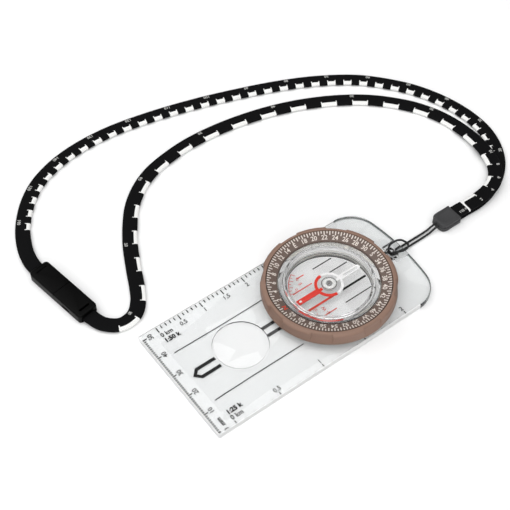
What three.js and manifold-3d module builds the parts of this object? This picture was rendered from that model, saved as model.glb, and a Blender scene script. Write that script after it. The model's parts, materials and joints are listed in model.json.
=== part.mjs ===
// Baseplate compass with a printed neck lanyard.
// Millimetres, +Z up. The baseplate's underside lies on Z = 0, centred on the origin, and its
// direction arrow points along -Y. The lanyard lies on the same surface, behind and left of it.
import * as THREE from 'three';
import { mergeVertices } from 'three/addons/utils/BufferGeometryUtils.js';
import Module from 'manifold-3d';

const wasm = await Module();
wasm.setup();

// ---------------------------------------------------------------- driving dimensions
const GAP = 0.3; // clearance left between neighbouring pieces
const TURN = 72; // facets round the large turned pieces
const FINE_TURN = 24; // facets round the small ones

const PLATE = { width: 53, length: 108, thickness: 2.6, frontRadius: 1, rearRadius: 12, rearArc: 100 };
const LENS = { y: -25.2, radius: 10.2, rimRadius: 11, rimDepth: 0.5, rise: 1 };
const SLOT = { x: 0.6, y: 48.8, width: 5.6, depth: 3.2 }; // cord slot near the rear edge
const WEB = { x: 0, width: 9, underside: 1.3 }; // thinned bar between the slot and the rear edge

const HOUSING_Y = 16.9; // the turning axis of the dial and needle
const SEAT = { hole: 19.1, land: 1.4, counterbore: 21.2 }; // the housing's seat in the baseplate
const COLLAR = { radius: 18.8, wall: 1.4, grooveRadius: 18.2, grooveLow: 0.5, grooveHigh: 1.3 };
const CAPSULE = {
  bottom: 0.2, floorLow: 2, floorTop: 3.2, flangeRadius: 22.4, flangeLow: 2.9, flangeTop: 3.9,
  wallOuter: 19.4, wallInner: 17.6, wallTop: 7.6, bossRadius: 1.4, bossTop: 3.7, pinHole: 0.75,
};
const LID = { top: 9.7, flatRadius: 17.1, rimRadius: 19.6, rimHigh: 8.3, thickness: 1.1, spigotLow: 6.9 };
const DIAL = {
  inner: 20, outer: 24.05, innerTop: 8.7, outerTop: 9.9, wall: 1.1, bottom: 4.2, innerBottom: 6.5,
};
const BEZEL = { inner: 24.35, outer: 26.5, recess: 25.7, top: 10, bottom: 3.3, topRound: 1.4, foot: 1 };
const GRIPS = { count: 8, recessAngle: 18, firstRecess: 0 }; // recesses face the eight main bearings
const CLIP = { inner: 18.45, outer: 20.8, low: 0.7, high: 1.1, opening: 36 };
const FILLER = { radius: 0.8, clearance: 0.2, height: 5.6, bearing: 120 };

const NEEDLE = {
  low: 4.1, high: 4.9, ringInner: 4.6, ringOuter: 5.75, north: 16.4, south: 15.2, width: 2.4,
  slotWidth: 1, slotStart: 7, slotEnd: 14.2, spokeWidth: 1.2,
};
const HUB = {
  radius: 3.05, skirtInner: 2.7, low: 4.5, ceiling: 5.8,
  shoulder: 5.9, top: 6.7, pocket: 1.15, pocketTop: 6.35,
};
const MAGNET = { inner: 1.3, outer: 2.4, low: 4.4, high: 5.5 };
const JEWEL = { radius: 0.9, low: 5.1, high: 6.1, cupRadius: 0.6, cupTop: 5.75 };
const PIVOT = { radius: 0.45, low: 2.8, shoulder: 4.9, tip: 5.55, foot: 2.5 };

const CORD_DIAMETER = 0.85;
const STRAP = { width: 6.2, thickness: 1.6 };
const CLAMP = {
  x: 0.1, strapEnd: 82.5, cordEnd: 73, width: 7.8, height: 3.9, wall: 1, corner: 2.4, split: 2,
};
const BUCKLE = {
  x: -61.6, y: -65.3, angle: 8.6, length: 31, width: 9, height: 4.5, seam: -0.6, corner: 1.4, edge: 0.5,
  cavityDepth: 10, cavityHalfWidth: 3.3, cavityLow: 1, cavityHigh: 3.5,
  mouthDepth: 4, mouthHalfWidth: 3.6, mouthLow: 0.6, mouthHigh: 2.8,
  slitInset: 2.6, slitWidth: 0.9, slitLength: 5,
  windowStart: 4.6, windowEnd: 8.9, windowLow: 1.3, windowHigh: 2.4,
};

// Route of the thin loop: out of the clamp, under the rear web, up through the slot, round in
// front of the web as a loose bight over its own two strands, and back the same way.
const LOOP_HALF_ROUTE = [
  [-0.8, 72.7, 1.95], [-0.82, 71, 1.5], [-0.85, 69, 0.75], [-0.88, 66.5, 0.5], [-0.9, 63, 0.46],
  [-0.9, 59.5, 0.46], [-0.9, 56, 0.48], [-0.85, 53, 0.5], [-0.6, 50.6, 0.52], [-0.4, 49, 0.95],
  [-0.5, 48.2, 1.9], [-0.9, 48.1, 3.1], [-1.6, 48.8, 3.9], [-2.4, 50.3, 3.9], [-2.8, 52.2, 3.4],
  [-2.75, 54.1, 3.15], [-2, 55.9, 2.75], [-0.9, 56.8, 2.2],
];

// Centre lines of the two straps on the table, from the clamp round to the buckle.
const STRAP_50K_ROUTE = [
  [0.1, 82.8, 0.9], [0.2, 88, 0.9], [0.3, 95, 0.9], [-1.3, 102.7, 0.9], [-4.9, 110.7, 0.9],
  [-10.4, 117.5, 0.9], [-17.7, 122.6, 0.9], [-26.3, 125.8, 0.9], [-35.4, 126.7, 0.9],
  [-44.7, 125.8, 0.9], [-53.7, 123.5, 0.9], [-62.4, 120, 0.9], [-70.5, 115.3, 0.9],
  [-84.6, 103.5, 0.9], [-95.6, 88.3, 0.9], [-104, 71.7, 0.9], [-110.8, 54.3, 0.9],
  [-116.7, 36.6, 0.9], [-121.5, 18.5, 0.9], [-124.9, 0, 0.9], [-125.6, -9.4, 0.9],
  [-125.4, -18.8, 0.9], [-124.1, -28.1, 0.9], [-121.4, -37.2, 0.9], [-117.2, -45.6, 0.9],
  [-111.3, -52.9, 0.9], [-104.3, -58.9, 0.9], [-96.7, -63.6, 0.95],
  [-88, -66.9, 1.2], [-82, -67.9, 1.5], [-78.4, -67.84, 1.7], [-75.6, -67.42, 1.7],
];
const STRAP_25K_ROUTE = [
  [0.1, 82.8, 2.8], [0.2, 88, 2.8], [0.3, 95, 2.8], [-0.6, 102, 2.8], [-3.5, 108.6, 2.8],
  [-9.3, 113.6, 2.8], [-17, 116.3, 2.8], [-25.1, 117.7, 2.5], [-32.6, 118.3, 1.6], [-39.9, 117.8, 1.05],
  [-46.9, 116.1, 0.9], [-53.8, 113.1, 0.9], [-60.1, 109.3, 0.9], [-71.3, 99.6, 0.9],
  [-80.3, 87.8, 0.9], [-87.4, 74.7, 0.9], [-92.7, 61, 0.9], [-96.3, 46.7, 0.9],
  [-98.4, 31.9, 0.9], [-98.6, 17, 0.9], [-96.2, 2.2, 0.9], [-93.8, -5, 0.9], [-90.2, -11.5, 0.9],
  [-85.6, -17.4, 0.9], [-80.2, -22.4, 0.9], [-67.9, -30.7, 0.9], [-54.6, -37.4, 0.9],
  [-47.6, -40.6, 0.9], [-41.3, -44.1, 0.9], [-36.6, -49, 0.9], [-35.9, -55.3, 0.95],
  [-39.9, -60.6, 1.2], [-44.8, -62.76, 1.7], [-47.6, -63.18, 1.7],
];

// ---------------------------------------------------------------- helpers
const radians = THREE.MathUtils.degToRad;

// A closed geometry as a solid that can be joined and cut.
function solid(geometry) {
  const bare = geometry.clone();
  bare.deleteAttribute('normal');
  bare.deleteAttribute('uv');
  const merged = mergeVertices(bare, 1e-4);
  const vertProperties = Float32Array.from(merged.attributes.position.array);
  const triVerts = Uint32Array.from(merged.index.array);
  const made = new wasm.Manifold(new wasm.Mesh({ numProp: 3, vertProperties, triVerts }));
  if (made.volume() > 0) {
    return made;
  }
  for (let i = 0; i < triVerts.length; i += 3) {
    [triVerts[i], triVerts[i + 1]] = [triVerts[i + 1], triVerts[i]];
  }
  return new wasm.Manifold(new wasm.Mesh({ numProp: 3, vertProperties, triVerts }));
}

// A solid back as a geometry.
function geometryOf(made) {
  const mesh = made.getMesh();
  const geometry = new THREE.BufferGeometry();
  geometry.setAttribute('position', new THREE.BufferAttribute(mesh.vertProperties, 3));
  geometry.setIndex(new THREE.BufferAttribute(mesh.triVerts, 1));
  return geometry;
}

// Turns a profile of [radius, height] points about the Z axis.
function turned(profile, facets = TURN) {
  const points = profile.map(([r, z]) => new THREE.Vector2(r, z));
  const first = points[0];
  const last = points[points.length - 1];
  if (first.x > 0 || last.x > 0) {
    points.push(first.clone());
  }
  return solid(new THREE.LatheGeometry(points, facets).rotateX(Math.PI / 2));
}

// A flat shape given a thickness from low to high.
function slab(shape, low, high, curveSegments = 16) {
  const depth = high - low;
  const geometry = new THREE.ExtrudeGeometry(shape, { depth, bevelEnabled: false, curveSegments });
  return solid(geometry.translate(0, 0, low));
}

// A block between two corners.
function block([x0, y0, z0], [x1, y1, z1]) {
  const geometry = new THREE.BoxGeometry(x1 - x0, y1 - y0, z1 - z0);
  return solid(geometry.translate((x0 + x1) / 2, (y0 + y1) / 2, (z0 + z1) / 2));
}

function disc(radius, low, high, facets = TURN) {
  return turned([[0, low], [radius, low], [radius, high], [0, high]], facets);
}

// A rectangle with round corners, centred on (x, y).
function roundedRectangle(x, y, width, depth, radius) {
  const shape = new THREE.Shape();
  const [cx, cy] = [width / 2 - radius, depth / 2 - radius];
  shape.absarc(x + cx, y + cy, radius, 0, Math.PI / 2);
  shape.absarc(x - cx, y + cy, radius, Math.PI / 2, Math.PI);
  shape.absarc(x - cx, y - cy, radius, Math.PI, 1.5 * Math.PI);
  shape.absarc(x + cx, y - cy, radius, 1.5 * Math.PI, 2 * Math.PI);
  return shape;
}

// A tube of the given section along a smooth route; section points are [up, across].
function swept(section, route, steps) {
  const shape = new THREE.Shape(section.map(([up, across]) => new THREE.Vector2(up, across)));
  const points = route.map((p) => new THREE.Vector3(...p));
  const extrudePath = new THREE.CatmullRomCurve3(points, false, 'centripetal');
  return solid(new THREE.ExtrudeGeometry(shape, { steps, extrudePath, bevelEnabled: false }));
}

const compass = new THREE.Group();

function addPiece(group, name, made, color, roughness, metalness = 0, opacity = 1) {
  const transparent = opacity < 1;
  const material = new THREE.MeshStandardMaterial({ color, roughness, metalness, opacity, transparent });
  const mesh = new THREE.Mesh(geometryOf(made), material);
  mesh.name = name;
  group.add(mesh);
}

// ---------------------------------------------------------------- baseplate
function plateOutline() {
  const { width, length, frontRadius, rearRadius, rearArc } = PLATE;
  const [x, y] = [width / 2, length / 2];
  const cornerX = x - rearRadius;
  const arcY = y - rearArc;
  const cornerY = arcY + Math.sqrt((rearArc - rearRadius) ** 2 - cornerX ** 2);
  const meet = Math.atan2(cornerY - arcY, cornerX);
  const outline = new THREE.Shape();
  outline.absarc(cornerX, cornerY, rearRadius, 0, meet);
  outline.absarc(0, arcY, rearArc, meet, Math.PI - meet);
  outline.absarc(-cornerX, cornerY, rearRadius, Math.PI - meet, Math.PI);
  outline.absarc(-x + frontRadius, -y + frontRadius, frontRadius, Math.PI, 1.5 * Math.PI);
  outline.absarc(x - frontRadius, -y + frontRadius, frontRadius, 1.5 * Math.PI, 2 * Math.PI);
  return outline;
}

function makeBaseplate() {
  const { thickness, length } = PLATE;
  const slotOutline = roundedRectangle(SLOT.x, SLOT.y, SLOT.width, SLOT.depth, SLOT.depth / 2 - 0.01);
  const slot = slab(slotOutline, -1, thickness + 1, 6);
  const relief = block(
    [WEB.x - WEB.width / 2, SLOT.y - 1, -1],
    [WEB.x + WEB.width / 2, length / 2 + 1, WEB.underside],
  );
  const hole = disc(SEAT.hole, -1, thickness + 1).translate([0, HOUSING_Y, 0]);
  const counterbore = disc(SEAT.counterbore, -1, SEAT.land).translate([0, HOUSING_Y, 0]);
  const pocket = disc(LENS.rimRadius, thickness - LENS.rimDepth, thickness + 1).translate([0, LENS.y, 0]);
  const dome = [];
  const ball = (LENS.radius ** 2 + LENS.rise ** 2) / (2 * LENS.rise);
  const rings = 8;
  for (let i = 0; i <= rings; i += 1) {
    const r = LENS.radius * (1 - i / rings);
    dome.push([r, thickness - 0.2 + Math.sqrt(ball ** 2 - r ** 2) - (ball - LENS.rise)]);
  }
  const lens = turned([[0, 1], [LENS.radius, 1], ...dome]).translate([0, LENS.y, 0]);
  return slab(plateOutline(), 0, thickness, 10)
    .subtract(hole)
    .subtract(counterbore)
    .subtract(slot)
    .subtract(relief)
    .subtract(pocket)
    .add(lens);
}

addPiece(compass, 'baseplate', makeBaseplate(), 0xeef1f1, 0.08, 0, 0.35);

// ---------------------------------------------------------------- housing
const housing = new THREE.Group();
housing.position.set(0, HOUSING_Y, 0);
compass.add(housing);

function fillerHole(radius, from, to) {
  const bore = new THREE.CylinderGeometry(radius, radius, to - from, FINE_TURN);
  bore.rotateZ(Math.PI / 2).translate((from + to) / 2, 0, FILLER.height);
  return solid(bore.rotateZ(radians(FILLER.bearing)));
}

function makeCapsuleBase() {
  const c = CAPSULE;
  const inner = COLLAR.radius - COLLAR.wall;
  return turned([
    [0, c.floorLow], [inner, c.floorLow], [inner, c.bottom], [COLLAR.radius, c.bottom],
    [COLLAR.radius, COLLAR.grooveLow], [COLLAR.grooveRadius, COLLAR.grooveLow],
    [COLLAR.grooveRadius, COLLAR.grooveHigh], [COLLAR.radius, COLLAR.grooveHigh],
    [COLLAR.radius, c.flangeLow], [c.flangeRadius, c.flangeLow], [c.flangeRadius, c.flangeTop],
    [c.wallOuter, c.flangeTop], [c.wallOuter, c.wallTop], [c.wallInner, c.wallTop],
    [c.wallInner, c.floorTop], [c.bossRadius, c.floorTop], [c.bossRadius, c.bossTop],
    [c.pinHole, c.bossTop], [c.pinHole, PIVOT.foot], [0, PIVOT.foot],
  ]).subtract(fillerHole(FILLER.radius + FILLER.clearance, c.wallInner - 1, c.wallOuter + 1));
}

function makeCapsuleLid() {
  const spigotOuter = CAPSULE.wallInner - GAP;
  const spigotInner = spigotOuter - 0.8;
  const under = CAPSULE.wallTop + GAP;
  return turned([
    [0, LID.top - LID.thickness], [spigotInner, LID.top - LID.thickness], [spigotInner, LID.spigotLow],
    [spigotOuter, LID.spigotLow], [spigotOuter, under], [LID.rimRadius, under],
    [LID.rimRadius, LID.rimHigh], [LID.flatRadius, LID.top], [0, LID.top],
  ]);
}

// The liquid as an inverted cup, open below where the needle swings.
function makeLiquid() {
  const outer = CAPSULE.wallInner - GAP;
  const neck = outer - 0.8 - GAP;
  const cavity = outer - 0.5;
  const low = CAPSULE.floorTop + GAP;
  const shoulder = LID.spigotLow - GAP;
  const top = LID.top - LID.thickness - GAP;
  const clearOfNeedle = NEEDLE.high + 1;
  const clearOfHub = HUB.top + 0.3;
  return turned([
    [0, clearOfHub], [HUB.radius + 0.6, clearOfHub], [HUB.radius + 0.6, clearOfNeedle],
    [cavity, clearOfNeedle], [cavity, low], [outer, low], [outer, shoulder], [neck, shoulder],
    [neck, top], [0, top],
  ]);
}

function makeDialRing() {
  const d = DIAL;
  const slope = (d.outerTop - d.innerTop) / (d.outer - d.inner);
  const under = (r) => d.innerTop + slope * (r - d.inner) - d.wall;
  return turned([
    [d.inner, d.innerBottom], [d.inner + d.wall, d.innerBottom], [d.inner + d.wall, under(d.inner + d.wall)],
    [d.outer - d.wall, under(d.outer - d.wall)], [d.outer - d.wall, d.bottom], [d.outer, d.bottom],
    [d.outer, d.outerTop], [d.inner, d.innerTop],
  ]);
}

function ringSector(inner, outer, angle) {
  const half = radians(angle / 2);
  const shape = new THREE.Shape();
  shape.absarc(0, 0, outer, -half, half);
  shape.absarc(0, 0, inner, half, -half, true);
  return shape;
}

function makeBezelGrip() {
  const b = BEZEL;
  const round = [];
  for (let i = 0; i <= 4; i += 1) {
    const a = radians(90 * (i / 4));
    round.push([b.outer - b.topRound * (1 - Math.cos(a)), b.top - b.topRound * (1 - Math.sin(a))]);
  }
  let grip = turned([
    [b.inner, b.bottom], [b.outer - b.foot, b.bottom], [b.outer, b.bottom + b.foot],
    ...round, [b.inner, b.top],
  ]);
  const recess = slab(ringSector(b.recess, b.outer + 1, GRIPS.recessAngle), b.bottom - 1, b.top + 1, 6);
  for (let i = 0; i < GRIPS.count; i += 1) {
    grip = grip.subtract(recess.rotate([0, 0, GRIPS.firstRecess + (i * 360) / GRIPS.count]));
  }
  return grip;
}

function makeRetainingRing() {
  const clip = ringSector(CLIP.inner, CLIP.outer, 360 - CLIP.opening);
  return slab(clip, CLIP.low, CLIP.high, 40).rotate([0, 0, 90]);
}

addPiece(housing, 'capsule_base', makeCapsuleBase(), 0xf2f4f4, 0.06, 0, 0.35);
addPiece(housing, 'capsule_lid', makeCapsuleLid(), 0xf4f6f6, 0.05, 0, 0.3);
addPiece(housing, 'damping_liquid', makeLiquid(), 0xf6f8f8, 0.02, 0, 0.15);
addPiece(housing, 'dial_ring', makeDialRing(), 0x7a6a60, 0.5);
addPiece(housing, 'bezel_grip', makeBezelGrip(), 0x8f7060, 0.62);
addPiece(housing, 'retaining_ring', makeRetainingRing(), 0xe8e6e0, 0.5);
addPiece(
  housing, 'filler_plug',
  fillerHole(FILLER.radius, CAPSULE.wallInner + 0.2, CAPSULE.wallOuter - 0.1), 0xd9d6cf, 0.5,
);

// ---------------------------------------------------------------- needle
function makePivot() {
  const p = PIVOT;
  return turned([
    [0, p.low], [p.radius, p.low], [p.radius, p.shoulder], [0.06, p.tip], [0, p.tip],
  ], FINE_TURN);
}

// One half of the needle: half of the centre ring, an arm with a round tip and a short spoke
// that reaches in to the hub. It points along -Y.
function needleHalf(reach) {
  const n = NEEDLE;
  const gapAngle = Math.asin(GAP / 2 / n.ringInner);
  const ring = new THREE.Shape();
  ring.absarc(0, 0, n.ringOuter, Math.PI + gapAngle, 2 * Math.PI - gapAngle);
  ring.absarc(0, 0, n.ringInner, 2 * Math.PI - gapAngle, Math.PI + gapAngle, true);
  const arm = new THREE.Shape();
  const tip = n.width / 2;
  arm.moveTo(tip, -(n.ringInner + 0.5));
  arm.lineTo(-tip, -(n.ringInner + 0.5));
  arm.absarc(0, -(reach - tip), tip, Math.PI, 2 * Math.PI);
  const spokeStart = HUB.radius + GAP;
  const spoke = block(
    [-n.spokeWidth / 2, -(n.ringInner + 0.4), n.low],
    [n.spokeWidth / 2, -spokeStart, n.high],
  );
  return slab(ring, n.low, n.high, 16).add(slab(arm, n.low, n.high, 8)).add(spoke);
}

function makeNeedleSouth() {
  const n = NEEDLE;
  const y = -(n.slotStart + n.slotEnd) / 2;
  const window = roundedRectangle(0, y, n.slotWidth, n.slotEnd - n.slotStart, n.slotWidth / 2 - 0.01);
  return needleHalf(n.south).subtract(slab(window, n.low - 1, n.high + 1, 4)).rotate([0, 0, 180]);
}

function makeNeedleHub() {
  const h = HUB;
  return turned([
    [0, h.pocketTop], [h.pocket, h.pocketTop], [h.pocket, h.ceiling], [h.skirtInner, h.ceiling],
    [h.skirtInner, h.low], [h.radius, h.low], [h.radius, h.shoulder], [2.5, 6.35], [1.5, 6.6], [0, h.top],
  ], 48);
}

function makeJewel() {
  const j = JEWEL;
  return turned([
    [0, j.cupTop], [j.cupRadius, j.low], [j.radius, j.low], [j.radius, j.high], [0, j.high],
  ], FINE_TURN);
}

function makeMagnet() {
  const m = MAGNET;
  return turned([[m.inner, m.low], [m.outer, m.low], [m.outer, m.high], [m.inner, m.high]], 48);
}

addPiece(housing, 'needle_pivot', makePivot(), 0xb8bcc0, 0.25, 1);
addPiece(housing, 'needle_north', needleHalf(NEEDLE.north), 0xe8321e, 0.4);
addPiece(housing, 'needle_south', makeNeedleSouth(), 0xf4f4f2, 0.4);
addPiece(housing, 'needle_hub', makeNeedleHub(), 0xeef0f0, 0.1, 0, 0.5);
addPiece(housing, 'needle_magnet', makeMagnet(), 0x5c5f63, 0.35, 1);
addPiece(housing, 'needle_jewel', makeJewel(), 0xb03a4a, 0.1);

// ---------------------------------------------------------------- lanyard: loop and clamp
function makeLoopCord() {
  const back = LOOP_HALF_ROUTE.map(([x, y, z]) => [-x, y, z]).reverse();
  const route = [...LOOP_HALF_ROUTE, [0, 57.1, 2.05], ...back];
  const section = [];
  const sides = 8;
  for (let i = 0; i < sides; i += 1) {
    const a = (2 * Math.PI * (i + 0.5)) / sides;
    section.push([(CORD_DIAMETER / 2) * Math.cos(a), (CORD_DIAMETER / 2) * Math.sin(a)]);
  }
  return swept(section, route, 60);
}

function clampOutline(inset) {
  const c = CLAMP;
  const [half, corner] = [c.width / 2 - inset, c.corner];
  const shape = new THREE.Shape();
  shape.moveTo(c.x + half, c.strapEnd - inset);
  shape.lineTo(c.x - half, c.strapEnd - inset);
  shape.lineTo(c.x - half, c.cordEnd + corner);
  shape.quadraticCurveTo(c.x - half, c.cordEnd + inset + 0.6, c.x - half + corner, c.cordEnd + inset + 0.15);
  shape.lineTo(c.x, c.cordEnd + inset);
  shape.lineTo(c.x + half - corner, c.cordEnd + inset + 0.15);
  shape.quadraticCurveTo(c.x + half, c.cordEnd + inset + 0.6, c.x + half, c.cordEnd + corner);
  return shape;
}

// Each half of the clamp is a shell with a pocket that grips the strap ends and the cord's knot.
function makeClampHalf(low, high, pocketLow, pocketHigh) {
  const pocket = slab(clampOutline(CLAMP.wall), pocketLow, pocketHigh, 6);
  return slab(clampOutline(0), low, high, 6).subtract(pocket);
}

const STRAP_SECTION = [
  [-STRAP.thickness / 2, -2.5], [-0.4, -STRAP.width / 2],
  [0.4, -STRAP.width / 2], [STRAP.thickness / 2, -2.5],
  [STRAP.thickness / 2, 2.5], [0.4, STRAP.width / 2],
  [-0.4, STRAP.width / 2], [-STRAP.thickness / 2, 2.5],
];

const lanyard = new THREE.Group();
compass.add(lanyard);
const splitLow = CLAMP.split - GAP / 2;
const splitHigh = CLAMP.split + GAP / 2;
addPiece(lanyard, 'loop_cord', makeLoopCord(), 0x141414, 0.8);
addPiece(lanyard, 'cord_clamp_base', makeClampHalf(0, splitLow, 1, splitLow + 1), 0x3a3a3a, 0.6);
addPiece(lanyard, 'cord_clamp_top', makeClampHalf(splitHigh, CLAMP.height, splitHigh - 1, 3), 0x444444, 0.6);
addPiece(lanyard, 'strap_50k', swept(STRAP_SECTION, STRAP_50K_ROUTE, 44), 0x101010, 0.9);
addPiece(lanyard, 'strap_25k', swept(STRAP_SECTION, STRAP_25K_ROUTE, 44), 0x101010, 0.9);

// ---------------------------------------------------------------- lanyard: breakaway buckle
const buckle = new THREE.Group();
buckle.position.set(BUCKLE.x, BUCKLE.y, 0);
buckle.rotation.z = radians(BUCKLE.angle);
lanyard.add(buckle);

// The buckle's outer shape between two stations, with its strap mouth and top slit at the
// outer end. Local +X runs along the buckle, towards the socket's strap.
function buckleShell(from, to) {
  const b = BUCKLE;
  const end = b.length / 2;
  const outline = roundedRectangle(0, 0, b.length, b.width, b.corner);
  const body = slab(outline, b.edge, b.height - b.edge, 5);
  const [capLength, capWidth] = [b.length - 2 * b.edge, b.width - 2 * b.edge];
  const cap = slab(roundedRectangle(0, 0, capLength, capWidth, b.corner - b.edge), 0, b.height, 5);
  const side = to > 0 ? 1 : -1;
  const mouthInner = side * (end - b.mouthDepth);
  const mouthOuter = side * (end + 1);
  const mouth = block(
    [Math.min(mouthInner, mouthOuter), -b.mouthHalfWidth, b.mouthLow],
    [Math.max(mouthInner, mouthOuter), b.mouthHalfWidth, b.mouthHigh],
  );
  const slitX = side * (end - b.slitInset);
  const slit = block(
    [slitX - b.slitWidth / 2, -b.slitLength / 2, b.mouthHigh - 0.5],
    [slitX + b.slitWidth / 2, b.slitLength / 2, b.height + 1],
  );
  const kept = block([from, -b.width, -1], [to, b.width, b.height + 1]);
  return body.add(cap).intersect(kept).subtract(mouth).subtract(slit);
}

function makeBuckleSocket() {
  const b = BUCKLE;
  const face = b.seam + GAP / 2;
  const cavity = block(
    [face - 1, -b.cavityHalfWidth, b.cavityLow],
    [face + b.cavityDepth, b.cavityHalfWidth, b.cavityHigh],
  );
  const windows = block([b.windowStart, -b.width, b.windowLow], [b.windowEnd, b.width, b.windowHigh]);
  return buckleShell(face, b.length).subtract(cavity).subtract(windows);
}

function makeBucklePlug() {
  const b = BUCKLE;
  const face = b.seam - GAP / 2;
  const [low, high] = [b.cavityLow + GAP, b.cavityHigh - GAP];
  const armOuter = b.cavityHalfWidth - GAP;
  const root = face - 1;
  const armEnd = face + b.cavityDepth - 0.6;
  let plug = buckleShell(-b.length, face);
  for (const side of [-1, 1]) {
    const [y0, y1] = [side * (armOuter - 1.1), side * armOuter];
    plug = plug.add(block([root, Math.min(y0, y1), low], [armEnd, Math.max(y0, y1), high]));
  }
  return plug.add(block([root, -0.9, low], [armEnd - 2, 0.9, high]));
}

addPiece(buckle, 'buckle_socket', makeBuckleSocket(), 0x121212, 0.45);
addPiece(buckle, 'buckle_plug', makeBucklePlug(), 0x121212, 0.45);

export default compass;
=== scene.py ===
"""Looks of a baseplate compass with a printed neck lanyard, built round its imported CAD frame."""
import json
import math

import bmesh
import bpy
from mathutils import Matrix, Vector


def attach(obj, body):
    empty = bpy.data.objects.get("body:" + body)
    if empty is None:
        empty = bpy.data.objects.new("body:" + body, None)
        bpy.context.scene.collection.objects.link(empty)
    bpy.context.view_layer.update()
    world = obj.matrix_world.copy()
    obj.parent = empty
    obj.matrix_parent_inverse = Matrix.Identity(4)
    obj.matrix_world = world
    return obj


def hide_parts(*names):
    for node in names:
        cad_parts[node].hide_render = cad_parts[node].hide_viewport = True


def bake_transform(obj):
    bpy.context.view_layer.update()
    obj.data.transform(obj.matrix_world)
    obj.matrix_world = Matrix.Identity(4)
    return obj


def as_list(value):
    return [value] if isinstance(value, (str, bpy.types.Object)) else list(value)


bl_info = {
    "name": "Baseplate compass",
    "version": (1, 0, 0),
    "blender": (4, 5, 0),
    "location": "View3D > Sidebar > Compass",
    "description": "Makes each piece of a baseplate compass and its lanyard on the packed frame",
    "category": "Add Mesh",
}

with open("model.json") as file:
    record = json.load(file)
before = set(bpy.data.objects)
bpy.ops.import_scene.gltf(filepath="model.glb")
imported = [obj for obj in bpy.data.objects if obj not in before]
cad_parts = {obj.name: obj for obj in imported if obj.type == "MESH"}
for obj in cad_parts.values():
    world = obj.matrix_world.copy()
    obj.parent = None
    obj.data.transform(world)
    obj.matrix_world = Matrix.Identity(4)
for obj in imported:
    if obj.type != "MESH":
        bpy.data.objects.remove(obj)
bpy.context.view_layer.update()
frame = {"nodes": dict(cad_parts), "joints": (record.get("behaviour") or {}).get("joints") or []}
MM = 0.001
LEVEL = Matrix.Identity(4)
UP = Vector((0, 0, 1))
JOINTS = {joint["name"]: joint for joint in frame["joints"]}

# The turning axis of the dial and the needle, and how far back it stands in millimetres.
AXIS = Vector(JOINTS["housing_turn"]["pos_m"])
MIDDLE = AXIS.y / MM
# The way the buckle's plug pulls out, along the buckle's length.
PULL = Vector(JOINTS["buckle_release"]["axis"])

CORD_DIAMETER = 0.00085
STRAP_WIDTH = 0.0062

# Routes of the cord and straps, in metres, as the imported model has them.
LOOP_HALF = [
    (-0.0008, 0.0734, 0.00195), (-0.00082, 0.071, 0.0015), (-0.00085, 0.069, 0.00075),
    (-0.00088, 0.0665, 0.0005), (-0.0009, 0.063, 0.00046), (-0.0009, 0.0595, 0.00046),
    (-0.0009, 0.056, 0.00048), (-0.00085, 0.053, 0.0005), (-0.0006, 0.0506, 0.00052),
    (-0.0004, 0.049, 0.00095), (-0.0005, 0.0482, 0.0019), (-0.0009, 0.0481, 0.0031),
    (-0.0016, 0.0488, 0.0039), (-0.0024, 0.0503, 0.0039), (-0.0028, 0.0522, 0.0034),
    (-0.00275, 0.0541, 0.00315), (-0.002, 0.0559, 0.00275), (-0.0009, 0.0568, 0.0022),
]
LOOP_ROUTE = [*LOOP_HALF, (0, 0.0571, 0.00205), *[(-x, y, z) for x, y, z in reversed(LOOP_HALF)]]
STRAP_50K_ROUTE = [
    (0.0001, 0.082, 0.0009), (0.0002, 0.088, 0.0009), (0.0003, 0.095, 0.0009), (-0.0013, 0.1027, 0.0009),
    (-0.0049, 0.1107, 0.0009), (-0.0104, 0.1175, 0.0009), (-0.0177, 0.1226, 0.0009),
    (-0.0263, 0.1258, 0.0009), (-0.0354, 0.1267, 0.0009), (-0.0447, 0.1258, 0.0009),
    (-0.0537, 0.1235, 0.0009), (-0.0624, 0.12, 0.0009), (-0.0705, 0.1153, 0.0009),
    (-0.0846, 0.1035, 0.0009), (-0.0956, 0.0883, 0.0009), (-0.104, 0.0717, 0.0009),
    (-0.1108, 0.0543, 0.0009), (-0.1167, 0.0366, 0.0009), (-0.1215, 0.0185, 0.0009), (-0.1249, 0, 0.0009),
    (-0.1256, -0.0094, 0.0009), (-0.1254, -0.0188, 0.0009), (-0.1241, -0.0281, 0.0009),
    (-0.1214, -0.0372, 0.0009), (-0.1172, -0.0456, 0.0009), (-0.1113, -0.0529, 0.0009),
    (-0.1043, -0.0589, 0.0009), (-0.0967, -0.0636, 0.00095), (-0.088, -0.0669, 0.0012),
    (-0.082, -0.0679, 0.0015), (-0.0784, -0.06784, 0.0017), (-0.0756, -0.06742, 0.0017),
]
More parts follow.
